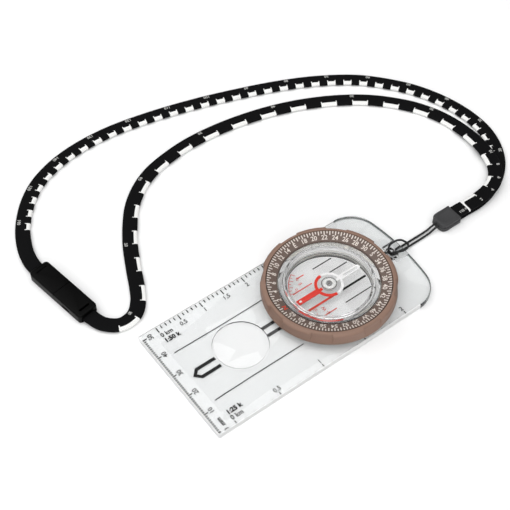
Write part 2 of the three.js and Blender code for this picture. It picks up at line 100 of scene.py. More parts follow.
STRAP_25K_ROUTE = [
    (0.0001, 0.082, 0.0028), (0.0002, 0.088, 0.0028), (0.0003, 0.095, 0.0028), (-0.0006, 0.102, 0.0028),
    (-0.0035, 0.1086, 0.0028), (-0.0093, 0.1136, 0.0028), (-0.017, 0.1163, 0.0028),
    (-0.0251, 0.1177, 0.0025), (-0.0326, 0.1183, 0.0016), (-0.0399, 0.1178, 0.00105),
    (-0.0469, 0.1161, 0.0009), (-0.0538, 0.1131, 0.0009), (-0.0601, 0.1093, 0.0009),
    (-0.0713, 0.0996, 0.0009), (-0.0803, 0.0878, 0.0009), (-0.0874, 0.0747, 0.0009),
    (-0.0927, 0.061, 0.0009), (-0.0963, 0.0467, 0.0009), (-0.0984, 0.0319, 0.0009),
    (-0.0986, 0.017, 0.0009), (-0.0962, 0.0022, 0.0009), (-0.0938, -0.005, 0.0009),
    (-0.0902, -0.0115, 0.0009), (-0.0856, -0.0174, 0.0009), (-0.0802, -0.0224, 0.0009),
    (-0.0679, -0.0307, 0.0009), (-0.0546, -0.0374, 0.0009), (-0.0476, -0.0406, 0.0009),
    (-0.0413, -0.0441, 0.0009), (-0.0366, -0.049, 0.0009), (-0.0359, -0.0553, 0.00095),
    (-0.0399, -0.0606, 0.0012), (-0.0448, -0.06276, 0.0017), (-0.0476, -0.06318, 0.0017),
]


# ---------------------------------------------------------------- colours and settings
def linear(hex_colour):
    """An sRGB hex colour as the linear values that Blender's sockets hold."""
    parts = [int(hex_colour[i:i + 2], 16) / 255 for i in (1, 3, 5)]
    return (*[c / 12.92 if c <= 0.04045 else ((c + 0.055) / 1.055) ** 2.4 for c in parts], 1.0)


class CompassSizes(bpy.types.PropertyGroup):
    """Sizes a maker would change."""
    edge_round: bpy.props.FloatProperty(
        name="Plate edge", description="Radius along the plate's edges", default=0.00045, unit="LENGTH")
    print_thickness: bpy.props.FloatProperty(
        name="Print thickness", description="Height of the printed marks", default=0.00004, unit="LENGTH")
    tick_width: bpy.props.FloatProperty(
        name="Dial tick width", description="Width of one dial graduation", default=0.0004, unit="LENGTH")
    dial_figure: bpy.props.FloatProperty(
        name="Dial figures", description="Type size of the dial's numbers", default=0.00255, unit="LENGTH")
    dial_divisions: bpy.props.IntProperty(
        name="Dial divisions", description="Graduations round the dial", default=128, min=8)
    strap_width: bpy.props.FloatProperty(
        name="Strap width", description="Width of the woven strap", default=STRAP_WIDTH, unit="LENGTH")
    strap_thickness: bpy.props.FloatProperty(
        name="Strap thickness", description="Thickness of the woven strap", default=0.0016, unit="LENGTH")
    cord_diameter: bpy.props.FloatProperty(
        name="Cord diameter", description="Diameter of the thin loop", default=CORD_DIAMETER, unit="LENGTH")


class CompassColours(bpy.types.PropertyGroup):
    """Colours a maker would change."""
    bezel: bpy.props.FloatVectorProperty(
        name="Bezel", description="Outer grip ring", subtype="COLOR", size=4, default=linear("#876C5E"))
    dial: bpy.props.FloatVectorProperty(
        name="Dial", description="Graduated ring", subtype="COLOR", size=4, default=linear("#65564F"))
    figures: bpy.props.FloatVectorProperty(
        name="Figures", description="Dial marks", subtype="COLOR", size=4, default=linear("#DDD3CA"))
    red: bpy.props.FloatVectorProperty(
        name="Red", description="Needle's north end", subtype="COLOR", size=4, default=linear("#E5301C"))
    strap: bpy.props.FloatVectorProperty(
        name="Strap", description="Lanyard webbing", subtype="COLOR", size=4, default=linear("#060607"))


# ---------------------------------------------------------------- nodes and materials
def add_node(tree, kind, inputs=None, **settings):
    """Adds a node and its settings. Each input gets a value, or a link from a socket or from
    another node's first output."""
    node = tree.nodes.new(kind)
    for name, value in settings.items():
        setattr(node, name, value)
    for name, value in (inputs or {}).items():
        if isinstance(value, bpy.types.Node):
            value = value.outputs[0]
        if isinstance(value, bpy.types.NodeSocket):
            tree.links.new(value, node.inputs[name])
        else:
            node.inputs[name].default_value = value
    return node


def new_material(name):
    """An empty node material, and its tree."""
    material = bpy.data.materials.new(name)
    material.use_nodes = True
    material.node_tree.nodes.clear()
    return material, material.node_tree


def shaded(colour, factor, lift=0.0):
    """A colour made darker or lighter by a factor, then raised."""
    return (*[min(1.0, c * factor + lift) for c in colour[:3]], 1.0)


def moulded_plastic(name, colour, roughness, grain, relief, mottle, shine=0.5):
    """Injection-moulded plastic from a spark-eroded tool: a fine even grain that scatters the
    highlight, with slow, faint changes of tone and gloss from flow and handling."""
    material, tree = new_material(name)
    place = add_node(tree, "ShaderNodeTexCoord").outputs["Object"]
    slow = add_node(tree, "ShaderNodeTexNoise", {"Vector": place, "Scale": 1 / 0.007, "Detail": 3.0})
    tone = add_node(
        tree, "ShaderNodeMix", {0: slow, 6: shaded(colour, 1 - mottle), 7: shaded(colour, 1 + mottle)},
        data_type="RGBA")
    gloss = add_node(
        tree, "ShaderNodeMapRange", {"Value": slow, "To Min": roughness - 0.06, "To Max": roughness + 0.06})
    fine = add_node(tree, "ShaderNodeTexNoise", {"Vector": place, "Scale": 1 / grain, "Detail": 2.0})
    bump = add_node(tree, "ShaderNodeBump", {"Height": fine, "Strength": 0.35, "Distance": relief})
    surface = add_node(
        tree, "ShaderNodeBsdfPrincipled",
        {"Base Color": tone.outputs[2], "Roughness": gloss, "Normal": bump, "IOR": 1.5,
         "Specular IOR Level": shine})
    add_node(tree, "ShaderNodeOutputMaterial", {"Surface": surface})
    return material


def clear_plastic(name, tint, ior=1.49, wetted=False, roughness=0.0, clear=1.0):
    """Cast or moulded acrylic, or oil: sharp, nearly colourless refraction that lets lamps
    through, so shadows under it stay pale. A face that the oil wets has no gloss of its own."""
    material, tree = new_material(name)
    gloss = 0.0 if wetted else 1.0
    glass = add_node(
        tree, "ShaderNodeBsdfPrincipled",
        {"Base Color": tint, "Roughness": roughness, "IOR": ior, "Transmission Weight": clear,
         "Specular Tint": (gloss, gloss, gloss, 1.0)})
    through = add_node(tree, "ShaderNodeBsdfTransparent", {"Color": (*[c ** 0.5 for c in tint[:3]], 1.0)})
    shadow = add_node(tree, "ShaderNodeLightPath").outputs["Is Shadow Ray"]
    mix = add_node(tree, "ShaderNodeMixShader", {0: shadow, 1: glass, 2: through})
    add_node(tree, "ShaderNodeOutputMaterial", {"Surface": mix})
    return material


def printed_ink(name, colour, roughness=0.45):
    """Pad-printed ink: a thin opaque film, very slightly uneven in tone where the pad lifted."""
    material, tree = new_material(name)
    place = add_node(tree, "ShaderNodeTexCoord").outputs["Object"]
    patch = add_node(tree, "ShaderNodeTexNoise", {"Vector": place, "Scale": 1 / 0.0006, "Detail": 2.0})
    tone = add_node(
        tree, "ShaderNodeMix", {0: patch, 6: shaded(colour, 0.88, 0.01), 7: colour}, data_type="RGBA")
    surface = add_node(
        tree, "ShaderNodeBsdfPrincipled",
        {"Base Color": tone.outputs[2], "Roughness": roughness, "IOR": 1.5, "Specular IOR Level": 0.25})
    add_node(tree, "ShaderNodeOutputMaterial", {"Surface": surface})
    return material


def turned_metal(name, colour, roughness):
    """Turned metal: fine rings about the axis that stretch the highlight across it."""
    material, tree = new_material(name)
    place = add_node(tree, "ShaderNodeTexCoord").outputs["Object"]
    centred = add_node(tree, "ShaderNodeMapping", {"Vector": place, "Location": (0.0, -AXIS.y, 0.0)})
    rings = add_node(
        tree, "ShaderNodeTexWave", {"Vector": centred, "Scale": 1 / 0.0008, "Distortion": 0.5},
        wave_type="RINGS", rings_direction="Z")
    bump = add_node(
        tree, "ShaderNodeBump", {"Height": rings.outputs["Fac"], "Strength": 0.15, "Distance": 0.00002})
    surface = add_node(
        tree, "ShaderNodeBsdfPrincipled",
        {"Base Color": colour, "Metallic": 1.0, "Roughness": roughness, "Normal": bump})
    add_node(tree, "ShaderNodeOutputMaterial", {"Surface": surface})
    return material


def matt_card(name, colour, paler):
    """Matt white card: no gloss, and a faint cloudiness that keeps it from looking flat."""
    material, tree = new_material(name)
    place = add_node(tree, "ShaderNodeTexCoord").outputs["Object"]
    cloud = add_node(tree, "ShaderNodeTexNoise", {"Vector": place, "Scale": 3.0})
    tone = add_node(tree, "ShaderNodeMix", {0: cloud, 6: colour, 7: linear(paler)}, data_type="RGBA")
    surface = add_node(
        tree, "ShaderNodeBsdfPrincipled",
        {"Base Color": tone.outputs[2], "Roughness": 0.9, "Specular IOR Level": 0.1})
    add_node(tree, "ShaderNodeOutputMaterial", {"Surface": surface})
    return material


def printed_webbing(name, colour, period, start, end, zero_line):
    """Woven polyester tape, printed with distance blocks along its left edge: matt black threads
    with hardly any sheen, and white ink that sits on the threads' crowns. Each crown is painted lighter than
    its dips, a painted highlight and painted shade on the weave. Lengths are in metres."""
    thread, tick, zero_width = 0.00042, 0.00035 / period, 0.0008
    edge, block_depth, tick_depth = -0.004, -0.0016, -0.0009
    material, tree = new_material(name)
    uv = add_node(tree, "ShaderNodeUVMap", uv_map="Tape")
    split = add_node(tree, "ShaderNodeSeparateXYZ", {0: uv})
    along = split.outputs[0]
    across = add_node(tree, "ShaderNodeMath", {0: split.outputs[1], 1: 0.01}, operation="MULTIPLY")

    # A plain weave: each thread rises over one neighbour and dips under the next.
    waves = []
    for distance in (along, across):
        turns = add_node(tree, "ShaderNodeMath", {0: distance, 1: math.pi / thread}, operation="MULTIPLY")
        waves.append(add_node(tree, "ShaderNodeMath", {0: turns}, operation="SINE"))
    both = add_node(tree, "ShaderNodeMath", {0: waves[0], 1: waves[1]}, operation="MULTIPLY")
    height = add_node(tree, "ShaderNodeMath", {0: both, 1: 0.5, 2: 0.5}, operation="MULTIPLY_ADD")

    # The share of a block and gap passed since the last block began.
    phase = along
    for operation, amount in (("SUBTRACT", start), ("DIVIDE", period), ("FRACT", 0.0)):
        phase = add_node(tree, "ShaderNodeMath", {0: phase, 1: amount}, operation=operation)

    # Each band is 1 between two limits: a block reaches in from the edge, and the fine lines at
    # its two ends reach in further.
    bands = []
    for value, low, high in (
            (phase, 0.0, 0.5), (across, edge, block_depth), (phase, 0.0, tick), (phase, 0.5 - tick, 0.5),
            (across, edge, tick_depth), (along, start, end), (along, start - zero_width, start)):
        bands.append(add_node(
            tree, "ShaderNodeMath", {0: value, 1: (low + high) / 2, 2: (high - low) / 2},
            operation="COMPARE"))
    block, block_band, first_line, last_line, line_band, printed, zero = bands
    block = add_node(tree, "ShaderNodeMath", {0: block, 1: block_band}, operation="MULTIPLY")
    zero = add_node(tree, "ShaderNodeMath", {0: zero, 1: zero_line}, operation="MULTIPLY")
    white = first_line
    for operation, other in (
            ("MAXIMUM", last_line), ("MULTIPLY", line_band), ("MAXIMUM", block), ("MULTIPLY", printed),
            ("MAXIMUM", zero)):
        white = add_node(tree, "ShaderNodeMath", {0: white, 1: other}, operation=operation)

    # Painted highlight and shade: both the black threads and the white ink are painted lighter on the weave's
    # crowns and darker in its dips.
    tones = [
        add_node(tree, "ShaderNodeMix", {0: height, 6: dull, 7: crown_highlight}, data_type="RGBA").outputs[2]
        for dull, crown_highlight in ((colour, shaded(colour, 1.6, 0.002)), (linear("#DCDCDA"), linear("#F4F4F2")))]
    tone = add_node(tree, "ShaderNodeMix", {0: white, 6: tones[0], 7: tones[1]}, data_type="RGBA")
    bump = add_node(tree, "ShaderNodeBump", {"Height": height, "Strength": 0.4, "Distance": 0.00006})
    surface = add_node(
        tree, "ShaderNodeBsdfPrincipled",
        {"Base Color": tone.outputs[2], "Normal": bump, "Roughness": 0.8, "Specular IOR Level": 0.08,
         "Sheen Weight": 0.01, "Sheen Roughness": 0.5})
    add_node(tree, "ShaderNodeOutputMaterial", {"Surface": surface})
    return material


def braided_cord(name, colour, plait=0.0009, strands=4):
    """Braided nylon cord: crossing strands wound both ways, which break its edge and highlight. Each strand's
    crown is painted lighter, a painted highlight.
    """
    material, tree = new_material(name)
    uv = add_node(tree, "ShaderNodeUVMap", uv_map="Tape")
    split = add_node(tree, "ShaderNodeSeparateXYZ", {0: uv})
    along = add_node(
        tree, "ShaderNodeMath", {0: split.outputs[0], 1: 2 * math.pi / plait}, operation="MULTIPLY")
    waves = []
    for turn in (1.0, -1.0):
        both = add_node(
            tree, "ShaderNodeMath", {0: split.outputs[1], 1: 2 * math.pi * strands * turn, 2: along},
            operation="MULTIPLY_ADD")
        waves.append(add_node(tree, "ShaderNodeMath", {0: both}, operation="SINE"))
    height = add_node(tree, "ShaderNodeMath", {0: waves[0], 1: waves[1]}, operation="MAXIMUM")
    bump = add_node(tree, "ShaderNodeBump", {"Height": height, "Strength": 0.6, "Distance": 0.00008})
    # Painted highlight: the strand crowns are painted up to 2.4 times lighter than the dips between them.
    tone = add_node(
        tree, "ShaderNodeMix", {0: height, 6: colour, 7: shaded(colour, 2.4, 0.01)}, data_type="RGBA")
    surface = add_node(
        tree, "ShaderNodeBsdfPrincipled",
        {"Base Color": tone.outputs[2], "Normal": bump, "Roughness": 0.6, "Specular IOR Level": 0.3})
    add_node(tree, "ShaderNodeOutputMaterial", {"Surface": surface})
    return material


# Each finish: its maker, name, colour as a hex value or the name of a colour setting, and details.
FINISHES = {
    # Nearly invisible from above. Its side faces carry painted shade, a dark grey tint at the rear, and
    # painted light, a milky paleness at the front, for the edge lines.
    "acrylic": (clear_plastic, "Cast acrylic", "#ECEDED", {}),
    # Painted shade: the rear side faces are tinted dark grey so that the edges read as dark lines.
    "acrylic_edge": (clear_plastic, "Sawn acrylic edge", "#7D8181", {}),
    # Real frosting in its roughness, and painted light in its milky white share, which makes the front edges
    # read pale.
    "frosted_edge_painted_pale": (clear_plastic, "Frosted ruler edge", "#F4F4F4", {"roughness": 0.5, "clear": 0.35}),
    # Painted light: the lens faces are tinted paler than the rest of the same sheet, so the lens reads
    # brighter.
    "lens": (clear_plastic, "Polished lens", "#F3F3F3", {}),
    # The capsule reads as rings of bright and dark round a clear window.
    "capsule": (clear_plastic, "Moulded clear capsule", "#FCFCFC", {}),
    "capsule_wall": (clear_plastic, "Satin capsule wall", "#FEFEFE", {"roughness": 0.05}),
    "acrylic_wetted": (clear_plastic, "Acrylic face in oil", "#FDFDFD", {"wetted": True}),
    "oil": (clear_plastic, "Damping oil", "#FFFFFF", {"ior": 1.43, "wetted": True}),
    "jewel": (clear_plastic, "Synthetic sapphire", "#FBFBFD", {"ior": 1.76}),
    # Satin brown rings, and blacks that stay dark because their grain scatters what little they reflect.
    "bezel": (moulded_plastic, "Moulded bezel ABS", "bezel", {
        "roughness": 0.56, "grain": 0.00025, "relief": 0.00003, "mottle": 0.05, "shine": 0.3}),
    "dial": (moulded_plastic, "Moulded dial ABS", "dial", {
        "roughness": 0.55, "grain": 0.00025, "relief": 0.00002, "mottle": 0.05, "shine": 0.3}),
    "nylon": (moulded_plastic, "Natural nylon", "#DAD7CE", {
        "roughness": 0.45, "grain": 0.0003, "relief": 0.00002, "mottle": 0.04}),
    "clamp": (moulded_plastic, "Soft black PVC", "#3A3A3B", {
        "roughness": 0.6, "grain": 0.0003, "relief": 0.00004, "mottle": 0.08, "shine": 0.3}),
    "buckle": (moulded_plastic, "Moulded black acetal", "#020202", {
        "roughness": 0.4, "grain": 0.0003, "relief": 0.00002, "mottle": 0.1, "shine": 0.08}),
    # Crisp, slightly dull prints, and glossier enamel on the needle.
    "figures": (printed_ink, "White dial ink", "figures", {}),
    "black_ink": (printed_ink, "Black plate ink", "#050505", {}),
    "red_ink": (printed_ink, "Red floor ink", "#D8402C", {}),
    "strap_figures": (printed_ink, "Pale strap ink", "#B9B9B6", {"roughness": 0.7}),
    "red_paint": (printed_ink, "Red needle enamel", "red", {"roughness": 0.3}),
    "white_paint": (printed_ink, "White needle enamel", "#FFFFFF", {"roughness": 0.3}),
    # Bright rings seen small through the hub.
    "magnet": (turned_metal, "Nickelled magnet", "#F4F4F2", {"roughness": 0.55}),
    "point": (turned_metal, "Hardened steel point", "#E8E9EA", {"roughness": 0.4}),
    # Matt tapes with hard-edged white blocks, and a cord with a broken highlight.
    "webbing_50k": (printed_webbing, "Printed webbing 50k", "strap", {
        "period": 0.00737, "start": 0.0077, "end": 0.3065, "zero_line": 0.0}),
    "webbing_25k": (printed_webbing, "Printed webbing 25k", "strap", {
        "period": 0.01414, "start": 0.0065, "end": 0.298, "zero_line": 1.0}),
    "cord": (braided_cord, "Braided nylon cord", "#151516", {}),
    "card": (matt_card, "White card", "#F3F3F3", {"paler": "#F7F7F7"}),
}
MATERIALS = {}


def material_for(key):
    """One of this compass's finishes, each made once."""
    if key not in MATERIALS:
        make, name, colour, details = FINISHES[key]
        if colour.startswith("#"):
            shade = linear(colour)
        else:
            shade = tuple(getattr(bpy.context.scene.compass_colours, colour))
        MATERIALS[key] = make(name, shade, **details)
    return MATERIALS[key]


# ---------------------------------------------------------------- pieces and outlines
def smooth(mesh, sharp):
    """Shades a mesh smooth but for edges sharper than an angle in degrees."""
    mesh.shade_smooth()
    mesh.set_sharp_from_angle(angle=math.radians(sharp))


def finish_piece(bm, name, *finishes, sharp=35.0):
    """Closes a mesh's seams, points its faces outwards and links it as an object at the origin."""
    bmesh.ops.remove_doubles(bm, verts=bm.verts, dist=1e-7)
    bmesh.ops.recalc_face_normals(bm, faces=bm.faces)
    mesh = bpy.data.meshes.new(name)
    bm.to_mesh(mesh)
    bm.free()
    for key in finishes:
        mesh.materials.append(material_for(key))
    smooth(mesh, sharp)
    piece = bpy.data.objects.new(name, mesh)
    bpy.context.scene.collection.objects.link(piece)
    return piece


def declare(piece, body, node=None):
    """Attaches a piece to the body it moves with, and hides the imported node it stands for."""
    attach(piece, body)
    if node:
        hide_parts(node)


def baked_mesh(piece):
    """The piece's mesh with its modifiers applied, in place of the one it had."""
    graph = bpy.context.evaluated_depsgraph_get()
    graph.update()
    made = bpy.data.meshes.new_from_object(piece.evaluated_get(graph))
    piece.modifiers.clear()
    return made


def carve(piece, bm, operation="DIFFERENCE", sharp=35.0):
    """Cuts a closed piece with another closed shape, or joins the two."""
    cutter = finish_piece(bm, "cutter")
    modifier = piece.modifiers.new("Carve", "BOOLEAN")
    modifier.operation = operation
    modifier.solver = "EXACT"
    modifier.object = cutter
    piece.data = baked_mesh(piece)
    smooth(piece.data, sharp)
    bpy.data.objects.remove(cutter)


def soften(profile, radius, steps=3, closed=True):
    """Rounds the corners of a profile of [radius, height] points, in millimetres."""
    made = []
    count = len(profile)
    for i, point in enumerate(profile):
        here = Vector(point)
        if not closed and i in (0, count - 1):
            made.append(tuple(here))
            continue
        back, on = Vector(profile[i - 1]) - here, Vector(profile[(i + 1) % count]) - here
        reach = min(radius, back.length * 0.4, on.length * 0.4)
        a, b = here + back.normalized() * reach, here + on.normalized() * reach
        for k in range(steps + 1):
            t = k / steps
            made.append(tuple(a * (1 - t) ** 2 + here * 2 * t * (1 - t) + b * t ** 2))
    return made


def revolve(profile, segments=192, finish=None, radius_at=None):
    """Turns a profile of [radius, height] millimetres about the compass's axis. Ends on the axis
    close in a pole, and other ends join. finish gives a face's material from its place, and
    radius_at changes a point's radius by its height and angle."""
    bm = bmesh.new()
    rings = []
    for r, z in profile:
        if r < 1e-6:
            rings.append([bm.verts.new((0.0, AXIS.y, z * MM))])
            continue
        ring = []
        for k in range(segments):
            a = 2 * math.pi * k / segments
            reach = (radius_at(r, z, a) if radius_at else r) * MM
            ring.append(bm.verts.new((reach * math.cos(a), AXIS.y + reach * math.sin(a), z * MM)))
        rings.append(ring)
    joins = [(i, i + 1) for i in range(len(rings) - 1)]
    if len(rings[0]) > 1 and len(rings[-1]) > 1:
        joins.append((len(rings) - 1, 0))
    for i, j in joins:
        a, b = rings[i], rings[j]
        mid = [(profile[i][n] + profile[j][n]) / 2 for n in (0, 1)]
        for k in range(segments):
            n = (k + 1) % segments
            if len(a) == 1:
                corners = (a[0], b[k], b[n])
            elif len(b) == 1:
                corners = (a[k], b[0], a[n])
            else:
                corners = (a[k], b[k], b[n], a[n])
            bm.faces.new(corners).material_index = finish(*mid) if finish else 0
    return bm


def arc(x, y, radius, first, last, steps):
    """Points of an arc, in millimetres and degrees."""
    angles = [math.radians(first + (last - first) * k / steps) for k in range(steps + 1)]
    return [(x + radius * math.cos(a), y + radius * math.sin(a)) for a in angles]


def tidy_loop(points):
    """A closed loop without repeated points."""
    made = []
    for p in points:
        if not made or math.dist(p, made[-1]) > 1e-4:
            made.append(p)
    return made if math.dist(made[0], made[-1]) > 1e-4 else made[:-1]


def rounded_rectangle(x, y, width, depth, radius, steps=6):
    """Points round a rectangle with round corners, anticlockwise, in millimetres."""
    cx, cy = width / 2 - radius, depth / 2 - radius
    corners = [(cx, cy), (-cx, cy), (-cx, -cy), (cx, -cy)]
    points = []
    for k, (dx, dy) in enumerate(corners):
        points += arc(x + dx, y + dy, radius, 90 * k, 90 * (k + 1), steps)
    return tidy_loop(points)


def bar(x0, x1, y0, y1):
    """A plain rectangle's corners, anticlockwise."""
    return [(x1, y0), (x1, y1), (x0, y1), (x0, y0)]


def offset_loop(points, distance):
    """An anticlockwise loop moved outwards by a distance, or inwards where it is negative."""
    made = []
    count = len(points)
    for i, p in enumerate(points):
        before, here, after = Vector(points[i - 1]), Vector(p), Vector(points[(i + 1) % count])
        a, b = (here - before).normalized(), (after - here).normalized()
        na, nb = Vector((a.y, -a.x)), Vector((b.y, -b.x))
        middle = (na + nb).normalized()
        made.append(tuple(here + middle * distance / max(0.4, middle.dot(na))))
    return made


def edge_rounding(low, high, edge, steps=3):
    """[inset, height] pairs from the top cap's rim, round the edge, down and round to the bottom."""
    top = []
    for k in range(steps + 1):
        a = math.radians(90 * k / steps)
        top.append((edge * (1 - math.sin(a)), high - edge * (1 - math.cos(a))))
    return top + [(inset, low + high - z) for inset, z in reversed(top)]


def ring_walls(bm, loop, rows, grow, place=LEVEL, material=0):
    """Walls between copies of a loop that move in or out from row to row. grow is -1 round the
    outside of a piece and 1 round a hole. Returns the first and last rows of vertices."""
    rings = []
    for inset, z in rows:
        points = offset_loop(loop, inset * grow)
        rings.append([bm.verts.new(place @ Vector((x * MM, y * MM, z * MM))) for x, y in points])
    for a, b in zip(rings, rings[1:]):
        for k in range(len(a)):
            n = (k + 1) % len(a)
            bm.faces.new((a[k], b[k], b[n], a[n])).material_index = material
    return rings[0], rings[-1]


def prism(outline, low, high, edge=0.0, place=LEVEL, steps=3, bm=None):
    """A flat outline given a thickness, with its top and bottom edges rounded or left square."""
    if bm is None:
        bm = bmesh.new()
    rows = edge_rounding(low, high, edge, steps) if edge else [(0, high), (0, low)]
    top, bottom = ring_walls(bm, outline, rows, -1, place)
    bm.faces.new(top)
    bm.faces.new(list(reversed(bottom)))
    return bm


def block(low, high, place=LEVEL):
    """A plain block between two corners in millimetres, used to cut other pieces."""
    bm = bmesh.new()
    bmesh.ops.create_cube(bm, size=1.0)
    for v in bm.verts:
        v.co = place @ Vector([(low[k] + (high[k] - low[k]) * (v.co[k] + 0.5)) * MM for k in range(3)])
    return bm


def lettering(bm, text, size, place, bold=0.0):
    """Adds raised lettering. size is in millimetres, and place maps a letter's point to its spot."""
    curve = bpy.data.curves.new("letters", "FONT")
    curve.body = text
    curve.size = size * MM
    curve.align_x = "CENTER"
    curve.align_y = "CENTER"
    curve.extrude = 0.02 * MM
    curve.offset = bold * MM
    curve.resolution_u = 3
    letters = bpy.data.objects.new("letters", curve)
    bpy.context.scene.collection.objects.link(letters)
    mesh = baked_mesh(letters)
    for v in mesh.vertices:
        v.co = place(v.co)
    bm.from_mesh(mesh)
    bpy.data.objects.remove(letters)
    bpy.data.curves.remove(curve)
    bpy.data.meshes.remove(mesh)


def turned_place(x, y, degrees, height):
    """Maps lettering flat at a spot in millimetres, turned by some degrees."""
    turn = Matrix.Translation((x * MM, y * MM, height * MM)) @ Matrix.Rotation(math.radians(degrees), 4, "Z")
    return lambda p: turn @ p


# ---------------------------------------------------------------- graduations
GRADUATION_INPUTS = {
    "Ring": "Bool", "Count": "Int", "Radius": "Float", "Start": "Vector", "Step": "Vector",
    "Heading": "Float", "Tilt": "Float", "Every": "Int", "Short": "Float", "Long": "Float",
    "Width": "Float", "Thickness": "Float", "Ink": "Material",
}


def graduation_tree():
    """Bars spread evenly round a circle or along a line, every so many of them longer. Inputs set
    the count, the first bar's place, the step or radius, and the bars' sizes."""
    tree = bpy.data.node_groups.new("Graduation", "GeometryNodeTree")
    for name, kind in GRADUATION_INPUTS.items():
        tree.interface.new_socket(name=name, in_out="INPUT", socket_type="NodeSocket" + kind)
    tree.interface.new_socket(name="Marks", in_out="OUTPUT", socket_type="NodeSocketGeometry")
    given = add_node(tree, "NodeGroupInput").outputs
    circle = add_node(tree, "GeometryNodeMeshCircle", {"Vertices": given["Count"], "Radius": given["Radius"]})
    line = add_node(tree, "GeometryNodeMeshLine", {"Count": given["Count"], "Offset": given["Step"]})
    base = add_node(
        tree, "GeometryNodeSwitch", {"Switch": given["Ring"], "False": line, "True": circle},
        input_type="GEOMETRY")
    index = add_node(tree, "GeometryNodeInputIndex")
    share = add_node(tree, "ShaderNodeMath", {0: index, 1: given["Count"]}, operation="DIVIDE")
    angle = add_node(tree, "ShaderNodeMath", {0: share, 1: 2 * math.pi}, operation="MULTIPLY")
    turn = add_node(
        tree, "GeometryNodeSwitch", {"Switch": given["Ring"], "False": given["Heading"], "True": angle},
        input_type="FLOAT")
    euler = add_node(tree, "ShaderNodeCombineXYZ", {"Y": given["Tilt"], "Z": turn})
    facing = add_node(tree, "FunctionNodeEulerToRotation", {0: euler})
    rest = add_node(tree, "ShaderNodeMath", {0: index, 1: given["Every"]}, operation="MODULO")
    longer = add_node(
        tree, "FunctionNodeCompare", {"A": rest, "B": 0.5}, data_type="FLOAT", operation="LESS_THAN")
    shorter = add_node(tree, "FunctionNodeBooleanMath", {0: longer}, operation="NOT")
    joined = add_node(tree, "GeometryNodeJoinGeometry")
    for length, chosen in (("Short", shorter), ("Long", longer)):
        size = add_node(
            tree, "ShaderNodeCombineXYZ", {"X": given[length], "Y": given["Width"], "Z": given["Thickness"]})
        cube = add_node(tree, "GeometryNodeMeshCube", {"Size": size})
        half = add_node(tree, "ShaderNodeMath", {0: given[length], 1: -0.5}, operation="MULTIPLY")
        shift = add_node(tree, "ShaderNodeCombineXYZ", {"X": half})
        mark = add_node(tree, "GeometryNodeTransform", {"Geometry": cube, "Translation": shift})
        marks = add_node(
            tree, "GeometryNodeInstanceOnPoints",
            {"Points": base, "Selection": chosen, "Instance": mark, "Rotation": facing})
        tree.links.new(marks.outputs[0], joined.inputs[0])
    placed = add_node(tree, "GeometryNodeTransform", {"Geometry": joined, "Translation": given["Start"]})
    real = add_node(tree, "GeometryNodeRealizeInstances", {0: placed})
    inked = add_node(tree, "GeometryNodeSetMaterial", {"Geometry": real, "Material": given["Ink"]})
    add_node(tree, "NodeGroupOutput", {0: inked})
    return tree


def grown(name, tree, values):
    """A plain mesh piece from a geometry node tree with the given named inputs."""
    piece = bpy.data.objects.new(name, bpy.data.meshes.new(name))
    bpy.context.scene.collection.objects.link(piece)
    modifier = piece.modifiers.new("Grow", "NODES")
    modifier.node_group = tree
    for item in tree.interface.items_tree:
        if item.in_out == "INPUT":
            modifier[item.identifier] = values[item.name]
    piece.data = baked_mesh(piece)
    return piece


# ---------------------------------------------------------------- stage
CAMERA = {
    "lens": 82.08, "at": (0.200786, -0.163462, 0.363303), "ahead": (-0.5037, 0.3650, -0.7830),
    "right": (0.5963, 0.8027, -0.0094)}
FLOOR = {"radius": 6.0, "height": -0.0002}
# Square lamps: name, place in metres, size in metres, power in watts.
LAMPS = [
    ("key", (-0.7, -0.35, 0.95), 1.0, 5.0), ("overhead", (0.1, 0.0, 1.25), 1.1, 6.0),
    ("front", (0.75, -0.65, 0.45), 0.6, 2.6)]
LAMP_AIM = Vector((-0.03, 0.02, 0))


def make_camera(scene):
    """The camera, looking down at the compass from the front right."""
    data = bpy.data.cameras.new("camera")
    data.lens = CAMERA["lens"]
    data.sensor_width = 36.0
    data.clip_start = 0.01
    data.clip_end = 50.0
    data.dof.use_dof = False
    camera = bpy.data.objects.new("camera", data)
    scene.collection.objects.link(camera)
    ahead = Vector(CAMERA["ahead"]).normalized()
    right = Vector(CAMERA["right"])
    right = (right - ahead * right.dot(ahead)).normalized()
    turn = Matrix((right, right.cross(ahead), -ahead)).transposed().to_4x4()
    camera.matrix_world = Matrix.Translation(CAMERA["at"]) @ turn
    scene.camera = camera


def make_sky(scene):
    """A dome that is bright overhead and dim near the horizon, and dimmer still behind the compass,
    where the plate would mirror it. The camera itself sees it white."""
    world = bpy.data.worlds.new("studio")
    scene.world = world
    world.use_nodes = True
    tree = world.node_tree
    tree.nodes.clear()
    facing = add_node(tree, "ShaderNodeTexCoord").outputs["Generated"]
    split = add_node(tree, "ShaderNodeSeparateXYZ", {0: facing})
    rise = add_node(
        tree, "ShaderNodeMapRange",
        {"Value": split.outputs["Z"], "From Min": 0.12, "From Max": 0.6, "To Min": 0.04, "To Max": 1.08})
    lean = add_node(tree, "ShaderNodeVectorMath", {0: facing, 1: (0.79, -0.61, 0.0)}, operation="DOT_PRODUCT")
    front = add_node(
        tree, "ShaderNodeMapRange",
        {"Value": lean.outputs["Value"], "From Min": -0.45, "From Max": 0.35, "To Min": 0.18, "To Max": 1.0})
    glow = add_node(tree, "ShaderNodeMath", {0: rise, 1: front}, operation="MULTIPLY")
    seen = add_node(tree, "ShaderNodeLightPath").outputs["Is Camera Ray"]
    strength = add_node(tree, "ShaderNodeMath", {0: glow, 1: seen}, operation="MAXIMUM")
    dome = add_node(tree, "ShaderNodeBackground", {"Color": (1.0, 1.0, 1.0, 1.0), "Strength": strength})
    add_node(tree, "ShaderNodeOutputWorld", {"Surface": dome})


